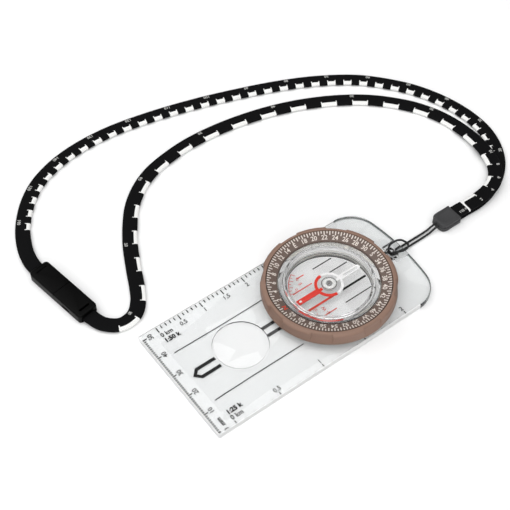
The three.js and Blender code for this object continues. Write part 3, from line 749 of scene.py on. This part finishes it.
class COMPASS_OT_stage(bpy.types.Operator):
    """Makes a pale floor just under the compass, soft light from above and left, and the camera"""
    bl_idname = "compass.stage"
    bl_label = "Stage"

    def execute(self, context):
        scene = context.scene
        scene.view_settings.view_transform = "Standard"
        make_camera(scene)
        bm = bmesh.new()
        bmesh.ops.create_circle(bm, cap_ends=True, segments=64, radius=FLOOR["radius"])
        bmesh.ops.translate(bm, verts=bm.verts, vec=(0, 0, FLOOR["height"]))
        finish_piece(bm, "floor", "card")
        make_sky(scene)
        for name, place, size, power in LAMPS:
            data = bpy.data.lights.new(name, "AREA")
            data.shape = "SQUARE"
            data.size = size
            data.energy = power
            lamp = bpy.data.objects.new(name, data)
            scene.collection.objects.link(lamp)
            lamp.location = place
            lamp.rotation_mode = "QUATERNION"
            lamp.rotation_quaternion = (LAMP_AIM - Vector(place)).to_track_quat("-Z", "Y")
        return {"FINISHED"}


# ---------------------------------------------------------------- lanyard
BUCKLE = {
    "x": -61.6, "y": -65.3, "length": 31.0, "width": 9.0, "height": 4.5, "seam": -0.6, "gap": 0.13}


def smooth_route(points, spacing):
    """Evenly spaced points along a centripetal Catmull-Rom curve through the given ones, and its
    length."""
    given = [Vector(p) for p in points]
    given = [given[0] * 2 - given[1], *given, given[-1] * 2 - given[-2]]
    steps = 24
    dense = []
    for a, b, c, d in zip(given, given[1:], given[2:], given[3:]):
        t0 = 0.0
        t1 = t0 + (b - a).length ** 0.5
        t2 = t1 + (c - b).length ** 0.5
        t3 = t2 + (d - c).length ** 0.5
        for k in range(steps):
            t = t1 + (t2 - t1) * k / steps
            p = a * ((t1 - t) / (t1 - t0)) + b * ((t - t0) / (t1 - t0))
            q = b * ((t2 - t) / (t2 - t1)) + c * ((t - t1) / (t2 - t1))
            r = c * ((t3 - t) / (t3 - t2)) + d * ((t - t2) / (t3 - t2))
            pq = p * ((t2 - t) / (t2 - t0)) + q * ((t - t0) / (t2 - t0))
            qr = q * ((t3 - t) / (t3 - t1)) + r * ((t - t1) / (t3 - t1))
            dense.append(pq * ((t2 - t) / (t2 - t1)) + qr * ((t - t1) / (t2 - t1)))
    dense.append(given[-2])
    lengths = [0.0]
    for a, b in zip(dense, dense[1:]):
        lengths.append(lengths[-1] + (b - a).length)
    count = max(2, round(lengths[-1] / spacing))
    made, at = [], 0
    for k in range(count + 1):
        want = lengths[-1] * k / count
        while at < len(dense) - 2 and lengths[at + 1] < want:
            at += 1
        share = (want - lengths[at]) / max(1e-12, lengths[at + 1] - lengths[at])
        made.append(dense[at].lerp(dense[at + 1], min(1.0, max(0.0, share))))
    return made, lengths[-1]


def cross_section(width, thickness, sides, square):
    """Points round a superellipse. Powers under 1 flatten its faces, and 1 leaves them round."""
    points = []
    for k in range(sides):
        a = 2 * math.pi * k / sides
        c, s = math.cos(a), math.sin(a)
        x, y = math.copysign(abs(c) ** square[0], c), math.copysign(abs(s) ** square[1], s)
        points.append((x * width / 2, y * thickness / 2))
    return points


def sweep(name, path, section, finish, flat):
    """A closed tube along a path. section points are [across, up] in metres. A flat tape keeps its
    width level, and a round cord carries its frame along. The UV map Tape holds metres along, and
    for a tape hundredths of a metre across, for a cord the share of a turn."""
    bm = bmesh.new()
    uv = bm.loops.layers.uv.new("Tape")
    count = len(section)
    rings, along, side = [], [], None
    for i, p in enumerate(path):
        ahead = (path[min(i + 1, len(path) - 1)] - path[max(i - 1, 0)]).normalized()
        if flat or side is None:
            side = ahead.cross(UP).normalized()
        side = (side - ahead * side.dot(ahead)).normalized()
        up = side.cross(ahead)
        rings.append([bm.verts.new(p + side * x + up * y) for x, y in section])
        along.append(0.0 if i == 0 else along[-1] + (p - path[i - 1]).length)
    for i in range(len(rings) - 1):
        for k in range(count):
            n = (k + 1) % count
            face = bm.faces.new((rings[i][k], rings[i][n], rings[i + 1][n], rings[i + 1][k]))
            for loop, (row, col) in zip(face.loops, ((i, k), (i, k + 1), (i + 1, k + 1), (i + 1, k))):
                v = section[col % count][0] * 100 if flat else col / count
                loop[uv].uv = (along[row], v)
    bm.faces.new(rings[0])
    bm.faces.new(list(reversed(rings[-1])))
    return finish_piece(bm, name, finish, sharp=50.0)


def strap_place(path, distance, across, lift):
    """Maps lettering onto a strap: letters run along it, at a distance from its start in metres."""
    step = (path[1] - path[0]).length

    def place(p):
        s = (distance + p.x) / step
        i = min(len(path) - 2, max(0, int(s)))
        here = path[i].lerp(path[i + 1], s - i)
        ahead = (path[i + 1] - path[i]).normalized()
        side = ahead.cross(UP).normalized()
        return here + side * (p.y + across) + side.cross(ahead) * (lift + p.z)
    return place


def make_strap(sizes, scale, route, numbers):
    """One printed strap with its row of numbers, each a text, its distance from the strap's start
    in metres and its size in millimetres. scale is 50k or 25k."""
    name = f"strap_{scale}_webbing"
    path, length = smooth_route(route, 0.0007)
    section = cross_section(sizes.strap_width, sizes.strap_thickness, 24, (0.45, 0.7))
    strap = sweep(name, path, section, "webbing_" + scale, True)
    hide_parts("strap_" + scale)
    bm = bmesh.new()
    for text, distance, size in numbers:
        lettering(bm, text, size, strap_place(path, distance, 0.0015, sizes.strap_thickness / 2), 0.03)
    figures = finish_piece(bm, name + "_figures", "strap_figures")
    return strap, figures, (path, length)


def clamp_outline(inset=0.0):
    """Outline of the cord clamp seen from above, in millimetres: square at the straps, rounded
    where the cord leaves."""
    x, half, corner, front, rear = 0.1, 3.9 - inset, 2.4, 75.4 + inset, 82.5 - inset
    return tidy_loop([
        (x + half, rear), (x - half, rear), *arc(x - half + corner, front, corner, 180, 262, 6),
        *arc(x + half - corner, front, corner, 278, 360, 6)])


def make_clamp():
    """The two shells of the clamp, with the parting line between them and a shallow panel on top."""
    low_shell = finish_piece(
        prism(clamp_outline(), 0.02, 1.9, 0.3, steps=4), "clamp_shell_low", "clamp", sharp=40)
    high_shell = finish_piece(
        prism(clamp_outline(), 2.0, 3.9, 0.5, steps=4), "clamp_shell_high", "clamp", sharp=40)
    carve(high_shell, prism(clamp_outline(1.25), 3.78, 4.6, 0.05), sharp=30)
    declare(low_shell, "baseplate", "cord_clamp_base")
    declare(high_shell, "baseplate", "cord_clamp_top")
    return [low_shell, high_shell]


def buckle_half(name, side, place):
    """One half of the buckle's outer shell, with its strap mouth and the slit in its top. side is
    1 for the socket and -1 for the plug."""
    end = BUCKLE["length"] / 2
    outline = rounded_rectangle(0, 0, BUCKLE["length"], BUCKLE["width"], 1.5, 8)
    half = finish_piece(prism(outline, 0.02, BUCKLE["height"], 0.7, place, 5), name, "buckle", sharp=35)
    near, far = sorted((BUCKLE["seam"] + BUCKLE["gap"] * side, side * (end + 2)))
    carve(half, block((near, -9, -2), (far, 9, 8), place), "INTERSECT")
    near, far = sorted((side * (end - 4), side * (end + 1)))
    carve(half, block((near, -3.6, 0.6), (far, 3.6, 2.8), place))
    slit = rounded_rectangle(side * (end - 2.6), 0, 0.9, 5.0, 0.35, 4)
    carve(half, prism(slit, 4.1 if side < 0 else 2.4, 6, 0.02, place))
    return half


def make_buckle():
    """The breakaway buckle's socket, with its side windows and cavity, and its pronged plug. In
    the buckle's own frame +X runs along it, away from the plug."""
    ahead = -PULL.normalized()
    turn = Matrix((ahead, UP.cross(ahead), UP)).transposed().to_4x4()
    place = Matrix.Translation((BUCKLE["x"] * MM, BUCKLE["y"] * MM, 0)) @ turn
    socket = buckle_half("buckle_socket_shell", 1, place)
    face = BUCKLE["seam"] + BUCKLE["gap"]
    carve(socket, block((face - 1, -3.3, 1.0), (face + 10, 3.3, 3.5), place))
    carve(socket, block((4.6, -9, 1.3), (8.9, 9, 2.4), place))
    declare(socket, "baseplate", "buckle_socket")
    plug = buckle_half("buckle_plug_shell", -1, place)
    root = BUCKLE["seam"] - BUCKLE["gap"] - 1.5
    prongs = bmesh.new()
    for low, high, length in ((-3.0, -1.9, 10.7), (1.9, 3.0, 10.7), (-0.9, 0.9, 8.7)):
        outline = rounded_rectangle(root + length / 2, (low + high) / 2, length, high - low, 0.4, 3)
        prism(outline, 1.3, 3.2, 0.2, place, bm=prongs)
    carve(plug, prongs, "UNION")
    declare(plug, "buckle_plug", "buckle_plug")
    return socket, plug


class COMPASS_OT_lanyard(bpy.types.Operator):
    bl_idname = "compass.lanyard"
    bl_label = "Lanyard"

    def execute(self, context):
        sizes = context.scene.compass_sizes
        loop_run = smooth_route(LOOP_ROUTE, 0.0003)
        section = cross_section(sizes.cord_diameter, sizes.cord_diameter, 12, (1, 1))
        loop = sweep("loop_cord_braid", loop_run[0], section, "cord", False)
        declare(loop, "baseplate", "loop_cord")
        clamp = make_clamp()
        socket, plug = make_buckle()
        numbers_50 = [(str(10 * k), 0.0083 + 0.01835 * k, 1.9) for k in range(1, 17)]
        numbers_25 = [("1:25 k", 0.0036, 1.5)]
        numbers_25 += [(str(k), 0.0065 + 0.003535 * k, 1.9) for k in (2, 4, 6, 8, *range(10, 90, 10))]
        outer, outer_figures, outer_run = make_strap(sizes, "50k", STRAP_50K_ROUTE, numbers_50)
        inner, inner_figures, inner_run = make_strap(sizes, "25k", STRAP_25K_ROUTE, numbers_25)
        for piece in (inner, inner_figures):
            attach(piece, "baseplate")
        for piece in (outer, outer_figures):
            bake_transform(piece)
        for piece, leaves, width, far_end, (path, length), every, with_pieces in (
                (loop, (0, 0.054, 0.0013), CORD_DIAMETER, "fitting", loop_run, 4, clamp),
                (outer, (0.0001, 0.0825, 0.0009), STRAP_WIDTH, "connector", outer_run, 3,
                 [plug, outer_figures]),
                (inner, (0.0001, 0.0825, 0.0028), STRAP_WIDTH, "connector", inner_run, 3,
                 [socket, inner_figures])):
            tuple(leaves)
            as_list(with_pieces)
        return {"FINISHED"}


# ---------------------------------------------------------------- baseplate, in millimetres
PLATE = {"width": 53.0, "length": 108.0, "top": 2.6, "web": 1.3, "rear": 12.0, "front": 1.0, "bow": 100.0}
SEAT = {"hole": 19.1, "land": 1.4, "counterbore": 21.2}
LENS = {"y": -25.2, "radius": 10.2, "rim": 11.0, "rim_depth": 0.5, "rise": 1.0}
PRINT_LOW = 0.03
# The travel arrow's lines: their inner and outer sides.
LINE = {"inner": 1.25, "outer": 2.65}
# Turn in degrees, type size, boldness, then each label and its spot.
PLATE_LABELS = [
    (90, 2.6, 0.015, [
        ("0,5", -22.2, -35.8), ("1", -22.2, -25.7), ("1,5", -22.2, -15.7), ("2", -22.2, -5.8),
        ("0,5", 22.6, -25.4), ("1", 22.6, -5.5), ("1,5", 22.6, 14.5), ("2", 22.6, 34.4)]),
    (90, 2.6, 0.045, [("0 km", -22.2, -43.6), ("0 km", 22.45, -43.3)]),
    (90, 2.6, 0.105, [("1:50 k", -19.3, -43.0), ("1:25 k", 19.8, -42.7)]),
    (180, 2.6, 0.015, [
        ("50", -24.2, -49.6), ("40", -14.5, -49.6), ("30", -4.5, -49.6), ("20", 5.5, -49.6),
        ("10", 15.5, -49.6), ("0", 25.1, -49.6)]),
    (180, 2.4, 0.065, [("mm", 21.4, -49.6)]),
]
# Name, count of marks, start, step, heading in degrees, every so many longer, lengths and width.
RULERS = [
    ("millimetre_ruler", 51, (25.57, -53.75), (-1, 0), -90, 10, 1.75, 2.7, 0.42),
    ("scale_50k", 27, (-26.3, -45.8), (0, 2), 180, 5, 1.4, 2.4, 0.42),
    ("scale_25k", 21, (26.2, -45.5), (0, 4), 0, 5, 1.2, 2.2, 0.36)]


def plate_outline():
    """Outline of the baseplate, anticlockwise: small front corners, large rear ones and a gently
    bowed rear edge."""
    x, y = PLATE["width"] / 2, PLATE["length"] / 2
    rear, front, bow = PLATE["rear"], PLATE["front"], PLATE["bow"]
    cx, arc_y = x - rear, y - bow
    cy = arc_y + math.sqrt((bow - rear) ** 2 - cx ** 2)
    meet = math.degrees(math.atan2(cy - arc_y, cx))
    return tidy_loop([
        *arc(cx, cy, rear, 0, meet, 20), *arc(0, arc_y, bow, meet, 180 - meet, 24),
        *arc(-cx, cy, rear, 180 - meet, 180, 20), *arc(front - x, front - y, front, 180, 270, 6),
        *arc(x - front, front - y, front, 270, 360, 6)])


def lens_rows():
    """[inset, height] pairs from the plate's top, down the lens's groove and up its ball face."""
    top, floor, groove = PLATE["top"], PLATE["top"] - LENS["rim_depth"], LENS["radius"] - LENS["rim"]
    ball = (LENS["radius"] ** 2 + LENS["rise"] ** 2) / (2 * LENS["rise"])
    rows = [(0.0, top), (-0.12, top - 0.05), (-0.25, floor), (groove + 0.1, floor), (groove, floor + 0.1)]
    for k in range(14):
        r = LENS["radius"] * (1 - k / 14)
        rows.append((r - LENS["rim"], top - 0.2 + math.sqrt(ball ** 2 - r ** 2) - (ball - LENS["rise"])))
    return rows


def fill_cap(bm, rings):
    """Fills the flat region between rings of vertices that lie in one plane."""
    edges = []
    for ring in rings:
        for a, b in zip(ring, ring[1:] + ring[:1]):
            edges.append(bm.edges.get((a, b)) or bm.edges.new((a, b)))
    bmesh.ops.triangle_fill(bm, edges=edges, use_beauty=True)


class COMPASS_OT_baseplate(bpy.types.Operator):
    """Makes the acrylic plate, one closed body with its moulded lens, seat and cord slot"""
    bl_idname = "compass.baseplate"
    bl_label = "Baseplate"

    def execute(self, context):
        edge = context.scene.compass_sizes.edge_round / MM
        top, land = PLATE["top"], SEAT["land"]
        finishes = ("acrylic", "lens", "acrylic_edge", "frosted_edge_painted_pale")
        lens_face, dark_painted_edge, frosted_edge_painted_pale = 1, 2, 3
        bm = bmesh.new()
        rounding = edge_rounding(0, top, edge)
        outer = ring_walls(bm, plate_outline(), rounding, -1, LEVEL, dark_painted_edge)
        slot = ring_walls(bm, rounded_rectangle(0.6, 48.8, 5.6, 3.2, 1.55, 8), rounding, 1)
        step = SEAT["counterbore"] - SEAT["hole"]
        seat = ring_walls(bm, arc(0.0, MIDDLE, SEAT["hole"], 0, 360, 160)[:-1], [
            (edge, top), (0.0, top - edge), (0.0, land), (step, land), (step, edge), (step + edge, 0.0)], 1)
        circle = arc(0, LENS["y"], LENS["rim"], 0, 360, 128)[:-1]
        lens = ring_walls(bm, circle, lens_rows(), 1, LEVEL, lens_face)
        bm.faces.new(lens[1]).material_index = lens_face
        fill_cap(bm, [outer[0], slot[0], seat[0], lens[0]])
        fill_cap(bm, [outer[1], slot[1], seat[1]])
        # The side faces of the plate's front half take the pale painted finish and the rear half keeps the
        # dark painted tint: painted light and painted shade.
        for face in bm.faces:
            if face.material_index == dark_painted_edge and face.calc_center_median().y < 0:
                face.material_index = frosted_edge_painted_pale
        plate = finish_piece(bm, "baseplate_acrylic", *finishes, sharp=28)
        carve(plate, block((-4.5, 47.8, -1), (4.5, 56, PLATE["web"])), sharp=28)
        declare(plate, "baseplate", "baseplate")
        return {"FINISHED"}


class COMPASS_OT_plate_prints(bpy.types.Operator):
    """Prints the rulers, map scales, travel arrow and guide lines on the plate's underside"""
    bl_idname = "compass.plate_prints"
    bl_label = "Plate prints"

    def execute(self, context):
        thick = context.scene.compass_sizes.print_thickness
        bm = bmesh.new()
        for degrees, size, bold, labels in PLATE_LABELS:
            for text, x, y in labels:
                lettering(bm, text, size, turned_place(x, y, degrees, PRINT_LOW + 0.02), bold)
        i, o = LINE["inner"], LINE["outer"]
        marks = [
            [(-o, -35.9), (-o, -44.3), (0, -46.8), (o, -44.3), (o, -35.9), (i, -35.9), (i, -43.9), (0, -45.1),
             (-i, -43.9), (-i, -35.9)],
            bar(-13.1, -12.75, -46.4, -5.4), bar(12.75, 13.1, -46.2, -5.4), bar(25.6, 25.85, -45.5, -41.5),
            bar(25.6, 25.85, -29.5, -25.5)]
        for x0, x1 in ((-o, -i), (i, o)):
            marks += [bar(x0, x1, -13.8, -5.4), bar(x0, x1, 38.4, 50.3)]
        for outline in marks:
            prism(outline, PRINT_LOW, PRINT_LOW + thick / MM, bm=bm)
        declare(finish_piece(bm, "plate_print", "black_ink"), "baseplate")
        tree = graduation_tree()
        for name, count, start, step, heading, every, short, longer, width in RULERS:
            declare(grown(name, tree, {
                "Ring": False, "Count": count, "Radius": 0.01, "Tilt": 0.0, "Heading": math.radians(heading),
                "Start": (start[0] * MM, start[1] * MM, PRINT_LOW * MM + thick / 2),
                "Step": (step[0] * MM, step[1] * MM, 0), "Every": every, "Short": short * MM,
                "Long": longer * MM, "Width": width * MM, "Thickness": thick,
                "Ink": material_for("black_ink")}), "baseplate")
        return {"FINISHED"}


# ---------------------------------------------------------------- housing, in millimetres
DIAL = {
    "inner": 20.0, "outer": 24.05, "inner_top": 8.7, "outer_top": 9.9, "tick_end": 23.95, "figures": 21.25}
BEZEL = {
    "inner": 24.35, "outer": 26.5, "recess": 25.75, "top": 10.0, "bottom": 3.3, "grips": 8, "half_gap": 9.0,
    "ramp": 0.9}
# Meridian lines: x, width, and from the axis the black part's ends and the red part's ends.
MERIDIANS = [
    (-10.1, 0.5, -0.1, 9.2, -8.0, -4.5), (-4.9, 0.5, 2.8, 13.0, -13.8, -4.5),
    (4.7, 0.95, 2.8, 14.6, -14.4, -1.6), (10.1, 0.45, 0.1, 12.9, -10.8, -4.3)]


class COMPASS_OT_capsule(bpy.types.Operator):
    """Makes the clear capsule: base with collar, oil, and lid. Faces that meet the oil are wetted"""
    bl_idname = "compass.capsule"
    bl_label = "Capsule"

    def execute(self, context):
        base = [
            (0, 2.0), (17.4, 2.0), (17.4, 0.2), (18.8, 0.2), (18.8, 0.5), (18.2, 0.5), (18.2, 1.3),
            (18.8, 1.3), (18.8, 2.9), (22.4, 2.9), (22.4, 3.9), (19.4, 3.9), (19.4, 7.6), (17.6, 7.6),
            (17.6, 3.2), (1.4, 3.2), (1.4, 3.7), (0.75, 3.7), (0.75, 2.5), (0, 2.5)]
        oil = [(0, 3.22), (17.57, 3.22), (17.57, 6.88), (16.47, 6.88), (16.47, 8.57), (0, 8.57)]
        lid = [
            (0, 8.6), (16.5, 8.6), (16.5, 6.9), (17.3, 6.9), (17.3, 7.9), (19.6, 7.9), (19.6, 8.3),
            (17.1, 9.7), (0, 9.7)]
        base = revolve(
            soften(base, 0.12, 2, False), finish=lambda r, z: 2 if r > 17.65 else 1 if z > 2.49 else 0)
        lid = revolve(soften(lid, 0.25, 3, False), finish=lambda r, z: 1 if r < 16.6 and z < 8.7 else 0)
        wetted = ("capsule", "acrylic_wetted")
        base = finish_piece(base, "capsule_base_clear", *wetted, "capsule_wall", sharp=30)
        oil = finish_piece(revolve(oil), "damping_oil", "oil", sharp=30)
        lid = finish_piece(lid, "capsule_lid_clear", *wetted, sharp=20)
        declare(base, "housing", "capsule_base")
        declare(oil, "housing", "damping_liquid")
        declare(lid, "housing", "capsule_lid")
        return {"FINISHED"}


class COMPASS_OT_floor_marks(bpy.types.Operator):
    """Prints the meridian lines and declination scales on the capsule's floor"""
    bl_idname = "compass.floor_marks"
    bl_label = "Floor marks"

    def execute(self, context):
        low, high = 3.24, 3.28
        black, red = bmesh.new(), bmesh.new()
        for x, width, black_from, black_to, red_from, red_to in MERIDIANS:
            sides = (x - width / 2, x + width / 2)
            prism(bar(*sides, MIDDLE + black_from, MIDDLE + black_to), low, high, bm=black)
            prism(bar(*sides, MIDDLE + red_from, MIDDLE + red_to), low, high, bm=red)
        for side, letter in ((-1, "E"), (1, "W")):
            for k in range(7):
                a = math.radians(-90 + side * (21 + 6 * k))
                ahead, across = Vector((math.cos(a), math.sin(a))), Vector((-math.sin(a), math.cos(a)))
                ends = ((14.6 if k % 2 else 13.9, -1), (15.6, -1), (15.6, 1), (14.6 if k % 2 else 13.9, 1))
                corners = [ahead * r + across * 0.12 * turn for r, turn in ends]
                prism([(p.x, p.y + MIDDLE) for p in corners], low, high, bm=red)
            first, last = sorted((-90 + side * 20, -90 + side * 58))
            outer, inner = [arc(0, MIDDLE, r, first, last, 24) for r in (15.75, 15.5)]
            prism(outer + inner[::-1], low, high, bm=red)
            for text, degrees in (("20", 27), ("40", 51)):
                x, y = arc(0, MIDDLE, 12.6, -90 + side * degrees, 0, 1)[0]
                lettering(red, text, 1.7, turned_place(x, y, 180 + side * degrees, low + 0.02))
            lettering(red, letter, 2.0, turned_place(side * 7.4, MIDDLE - 8.3, 180, low + 0.02), 0.03)
        declare(finish_piece(black, "floor_lines_black", "black_ink"), "housing")
        declare(finish_piece(red, "floor_lines_red", "red_ink"), "housing")
        return {"FINISHED"}


def dial_height(r):
    """Height of the dial's sloping face at a radius, in millimetres."""
    d = DIAL
    return d["inner_top"] + (d["outer_top"] - d["inner_top"]) * (r - d["inner"]) / (d["outer"] - d["inner"])


def dial_place(degrees, radius):
    """Maps lettering onto the dial's slope, tops outwards, at a bearing from the travel arrow."""
    turn = math.radians(-90 - degrees)

    def place(p):
        r = radius + p.y / MM
        a = turn - p.x / MM / radius
        height = (dial_height(r) + 0.02) * MM + p.z
        return Vector((r * MM * math.cos(a), AXIS.y + r * MM * math.sin(a), height))
    return place


class COMPASS_OT_dial(bpy.types.Operator):
    """Makes the graduated ring, its ticks and its numbers"""
    bl_idname = "compass.dial"
    bl_label = "Dial"

    def execute(self, context):
        sizes, d = context.scene.compass_sizes, DIAL
        profile = [
            (d["inner"], 6.5), (21.1, 6.5), (21.1, dial_height(21.1) - 1.1),
            (22.95, dial_height(22.95) - 1.1), (22.95, 4.2), (d["outer"], 4.2),
            (d["outer"], d["outer_top"]), (d["inner"], d["inner_top"])]
        ring = finish_piece(revolve(soften(profile, 0.15, 3), 256), "dial_ring_moulded", "dial", sharp=30)
        declare(ring, "housing", "dial_ring")
        slope = math.atan2(d["outer_top"] - d["inner_top"], d["outer"] - d["inner"])
        declare(grown("dial_ticks", graduation_tree(), {
            "Ring": True, "Count": sizes.dial_divisions, "Radius": d["tick_end"] * MM, "Tilt": -slope,
            "Start": (0.0, AXIS.y, (dial_height(d["tick_end"]) + 0.01) * MM), "Step": (0.0, 0.0, 0.0),
            "Heading": 0.0, "Every": 2, "Short": 1.05 * MM, "Long": 1.7 * MM, "Width": sizes.tick_width,
            "Thickness": sizes.print_thickness, "Ink": material_for("figures")}), "housing")
        white, red = bmesh.new(), bmesh.new()
        names = {0: "N", 16: "E", 32: "S", 48: "W"}
        for number in range(0, 64, 2):
            text = names.get(number, str(number))
            place = dial_place(number * 360 / 64, d["figures"])
            lettering(white if number else red, text, sizes.dial_figure / MM, place, 0.03)
        declare(finish_piece(white, "dial_figures", "figures"), "housing")
        declare(finish_piece(red, "dial_north_mark", "red_ink"), "housing")
        return {"FINISHED"}


def grip_radius(r, z, angle):
    """The bezel's radius: between the grips it sinks to the recess by a short ramp, and the recess
    fades out towards the bottom and the inner edge."""
    spread = 360 / BEZEL["grips"]
    away = math.degrees(angle) % spread
    away = min(away, spread - away)
    share = min(1.0, max(0.0, (BEZEL["half_gap"] + BEZEL["ramp"] / 2 - away) / BEZEL["ramp"]))
    share = share * share * (3 - 2 * share)
    shoulder = BEZEL["inner"] + 0.5
    reach = min(1.0, max(0.0, (r - shoulder) / (BEZEL["outer"] - shoulder)))
    high = min(1.0, max(0.0, (z - 4.6) / 3.6))
    return r - (BEZEL["outer"] - BEZEL["recess"]) * share * reach * high


class COMPASS_OT_bezel(bpy.types.Operator):
    """Makes the outer ring with eight raised grips"""
    bl_idname = "compass.bezel"
    bl_label = "Bezel"

    def execute(self, context):
        inner, outer, top, bottom = [BEZEL[name] for name in ("inner", "outer", "top", "bottom")]
        profile = [(inner, bottom), (outer - 1.0, bottom)]
        profile += [(outer, z) for z in (bottom + 1.2, 5.6, 6.6, 7.6, 8.2)]
        for degrees in range(0, 91, 15):
            a = math.radians(degrees)
            profile.append((outer - 1.5 * (1 - math.cos(a)), top - 1.3 * (1 - math.sin(a))))
        profile.append((inner, top))
        ring = revolve(soften(profile, 0.2, 2), 720, radius_at=grip_radius)
        declare(
            finish_piece(ring, "bezel_grip_moulded", "bezel", sharp=32), "housing", "bezel_grip")
        return {"FINISHED"}


# ---------------------------------------------------------------- needle, in millimetres
NEEDLE = {
    "low": 4.1, "high": 4.9, "inner": 4.6, "outer": 5.75, "width": 2.3, "north": 16.4, "south": 15.2,
    "hub": 3.35, "spoke": 0.6, "split": 0.15}


def needle_outline(reach):
    """Half of the centre ring with its arm and spoke, pointing along -Y."""
    n = NEEDLE
    half, hub, spoke = n["width"] / 2, n["hub"], n["spoke"]
    gap = math.degrees(n["split"] / n["inner"])
    side = math.degrees(math.asin(half / n["outer"]))
    turn = math.degrees(math.asin(spoke / n["inner"]))
    return tidy_loop([
        *arc(0, 0, n["outer"], 180 + gap, 270 - side, 14), *arc(0, half - reach, half, 180, 360, 14),
        *arc(0, 0, n["outer"], 270 + side, 360 - gap, 14), *arc(0, 0, n["inner"], 360 - gap, 270 + turn, 14),
        (spoke, -hub), (-spoke, -hub), *arc(0, 0, n["inner"], 270 - turn, 180 + gap, 14)])


class COMPASS_OT_needle(bpy.types.Operator):
    """Makes the red and white halves, the pale mark, the slot in the white arm, and the clear hub"""
    bl_idname = "compass.needle"
    bl_label = "Needle"

    def execute(self, context):
        low, high = NEEDLE["low"], NEEDLE["high"]
        ahead = Matrix.Translation((0, AXIS.y, 0))
        back = ahead @ Matrix.Rotation(math.pi, 4, "Z")
        north = prism(needle_outline(NEEDLE["north"]), low, high, 0.12, ahead, 2)
        north = finish_piece(north, "needle_north_enamel", "red_paint", sharp=40)
        south = prism(needle_outline(NEEDLE["south"]), low, high, 0.12, back, 2)
        south = finish_piece(south, "needle_south_enamel", "white_paint", sharp=40)
        carve(south, prism(rounded_rectangle(0, 10.6, 1.0, 7.2, 0.48, 5), 3, 6, 0.02, ahead), sharp=40)
        mark = prism(rounded_rectangle(0, MIDDLE - 13.9, 0.9, 1.1, 0.4, 5), high + 0.005, high + 0.05)
        mark = finish_piece(mark, "needle_luminous_mark", "white_paint")
        hub = [
            (0, 6.35), (1.15, 6.35), (1.15, 5.8), (2.7, 5.8), (2.7, 4.5), (3.05, 4.5), (3.05, 5.9),
            (2.5, 6.35), (1.5, 6.6), (0, 6.7)]
        hub = finish_piece(revolve(soften(hub, 0.12, 2, False), 96), "needle_hub_clear", "capsule", sharp=30)
        declare(north, "needle", "needle_north")
        declare(south, "needle", "needle_south")
        declare(hub, "needle", "needle_hub")
        declare(mark, "needle")
        return {"FINISHED"}


class COMPASS_OT_hardware(bpy.types.Operator):
    """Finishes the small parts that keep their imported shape"""
    bl_idname = "compass.hardware"
    bl_label = "Hardware"

    def execute(self, context):
        finishes = {
            "retaining_ring": "nylon", "filler_plug": "nylon", "needle_pivot": "point",
            "needle_magnet": "magnet", "needle_jewel": "jewel"}
        for node, finish in finishes.items():
            slots = frame["nodes"][node].data.materials
            slots.clear()
            slots.append(material_for(finish))
        return {"FINISHED"}


# ---------------------------------------------------------------- add-on
OPERATORS = [
    COMPASS_OT_stage, COMPASS_OT_lanyard, COMPASS_OT_baseplate, COMPASS_OT_plate_prints, COMPASS_OT_capsule,
    COMPASS_OT_floor_marks, COMPASS_OT_dial, COMPASS_OT_bezel, COMPASS_OT_needle, COMPASS_OT_hardware]


class COMPASS_PT_pieces(bpy.types.Panel):
    """Lists the compass's operators and settings"""
    bl_idname = "COMPASS_PT_pieces"
    bl_label = "Baseplate compass"
    bl_space_type = "VIEW_3D"
    bl_region_type = "UI"
    bl_category = "Compass"

    def draw(self, context):
        for settings in (context.scene.compass_sizes, context.scene.compass_colours):
            for name in settings.__annotations__:
                self.layout.prop(settings, name)
        for operator in OPERATORS:
            self.layout.operator(operator.bl_idname)


CLASSES = [CompassSizes, CompassColours, *OPERATORS, COMPASS_PT_pieces]


def register():
    for cls in CLASSES:
        bpy.utils.register_class(cls)
    bpy.types.Scene.compass_sizes = bpy.props.PointerProperty(type=CompassSizes)
    bpy.types.Scene.compass_colours = bpy.props.PointerProperty(type=CompassColours)


def unregister():
    del bpy.types.Scene.compass_colours
    del bpy.types.Scene.compass_sizes
    for cls in reversed(CLASSES):
        bpy.utils.unregister_class(cls)


def main():
    """Makes every piece in order."""
    register()
    for operator in OPERATORS:
        getattr(bpy.ops.compass, operator.bl_idname.split(".")[1])()


if __name__ == "__main__":
    main()
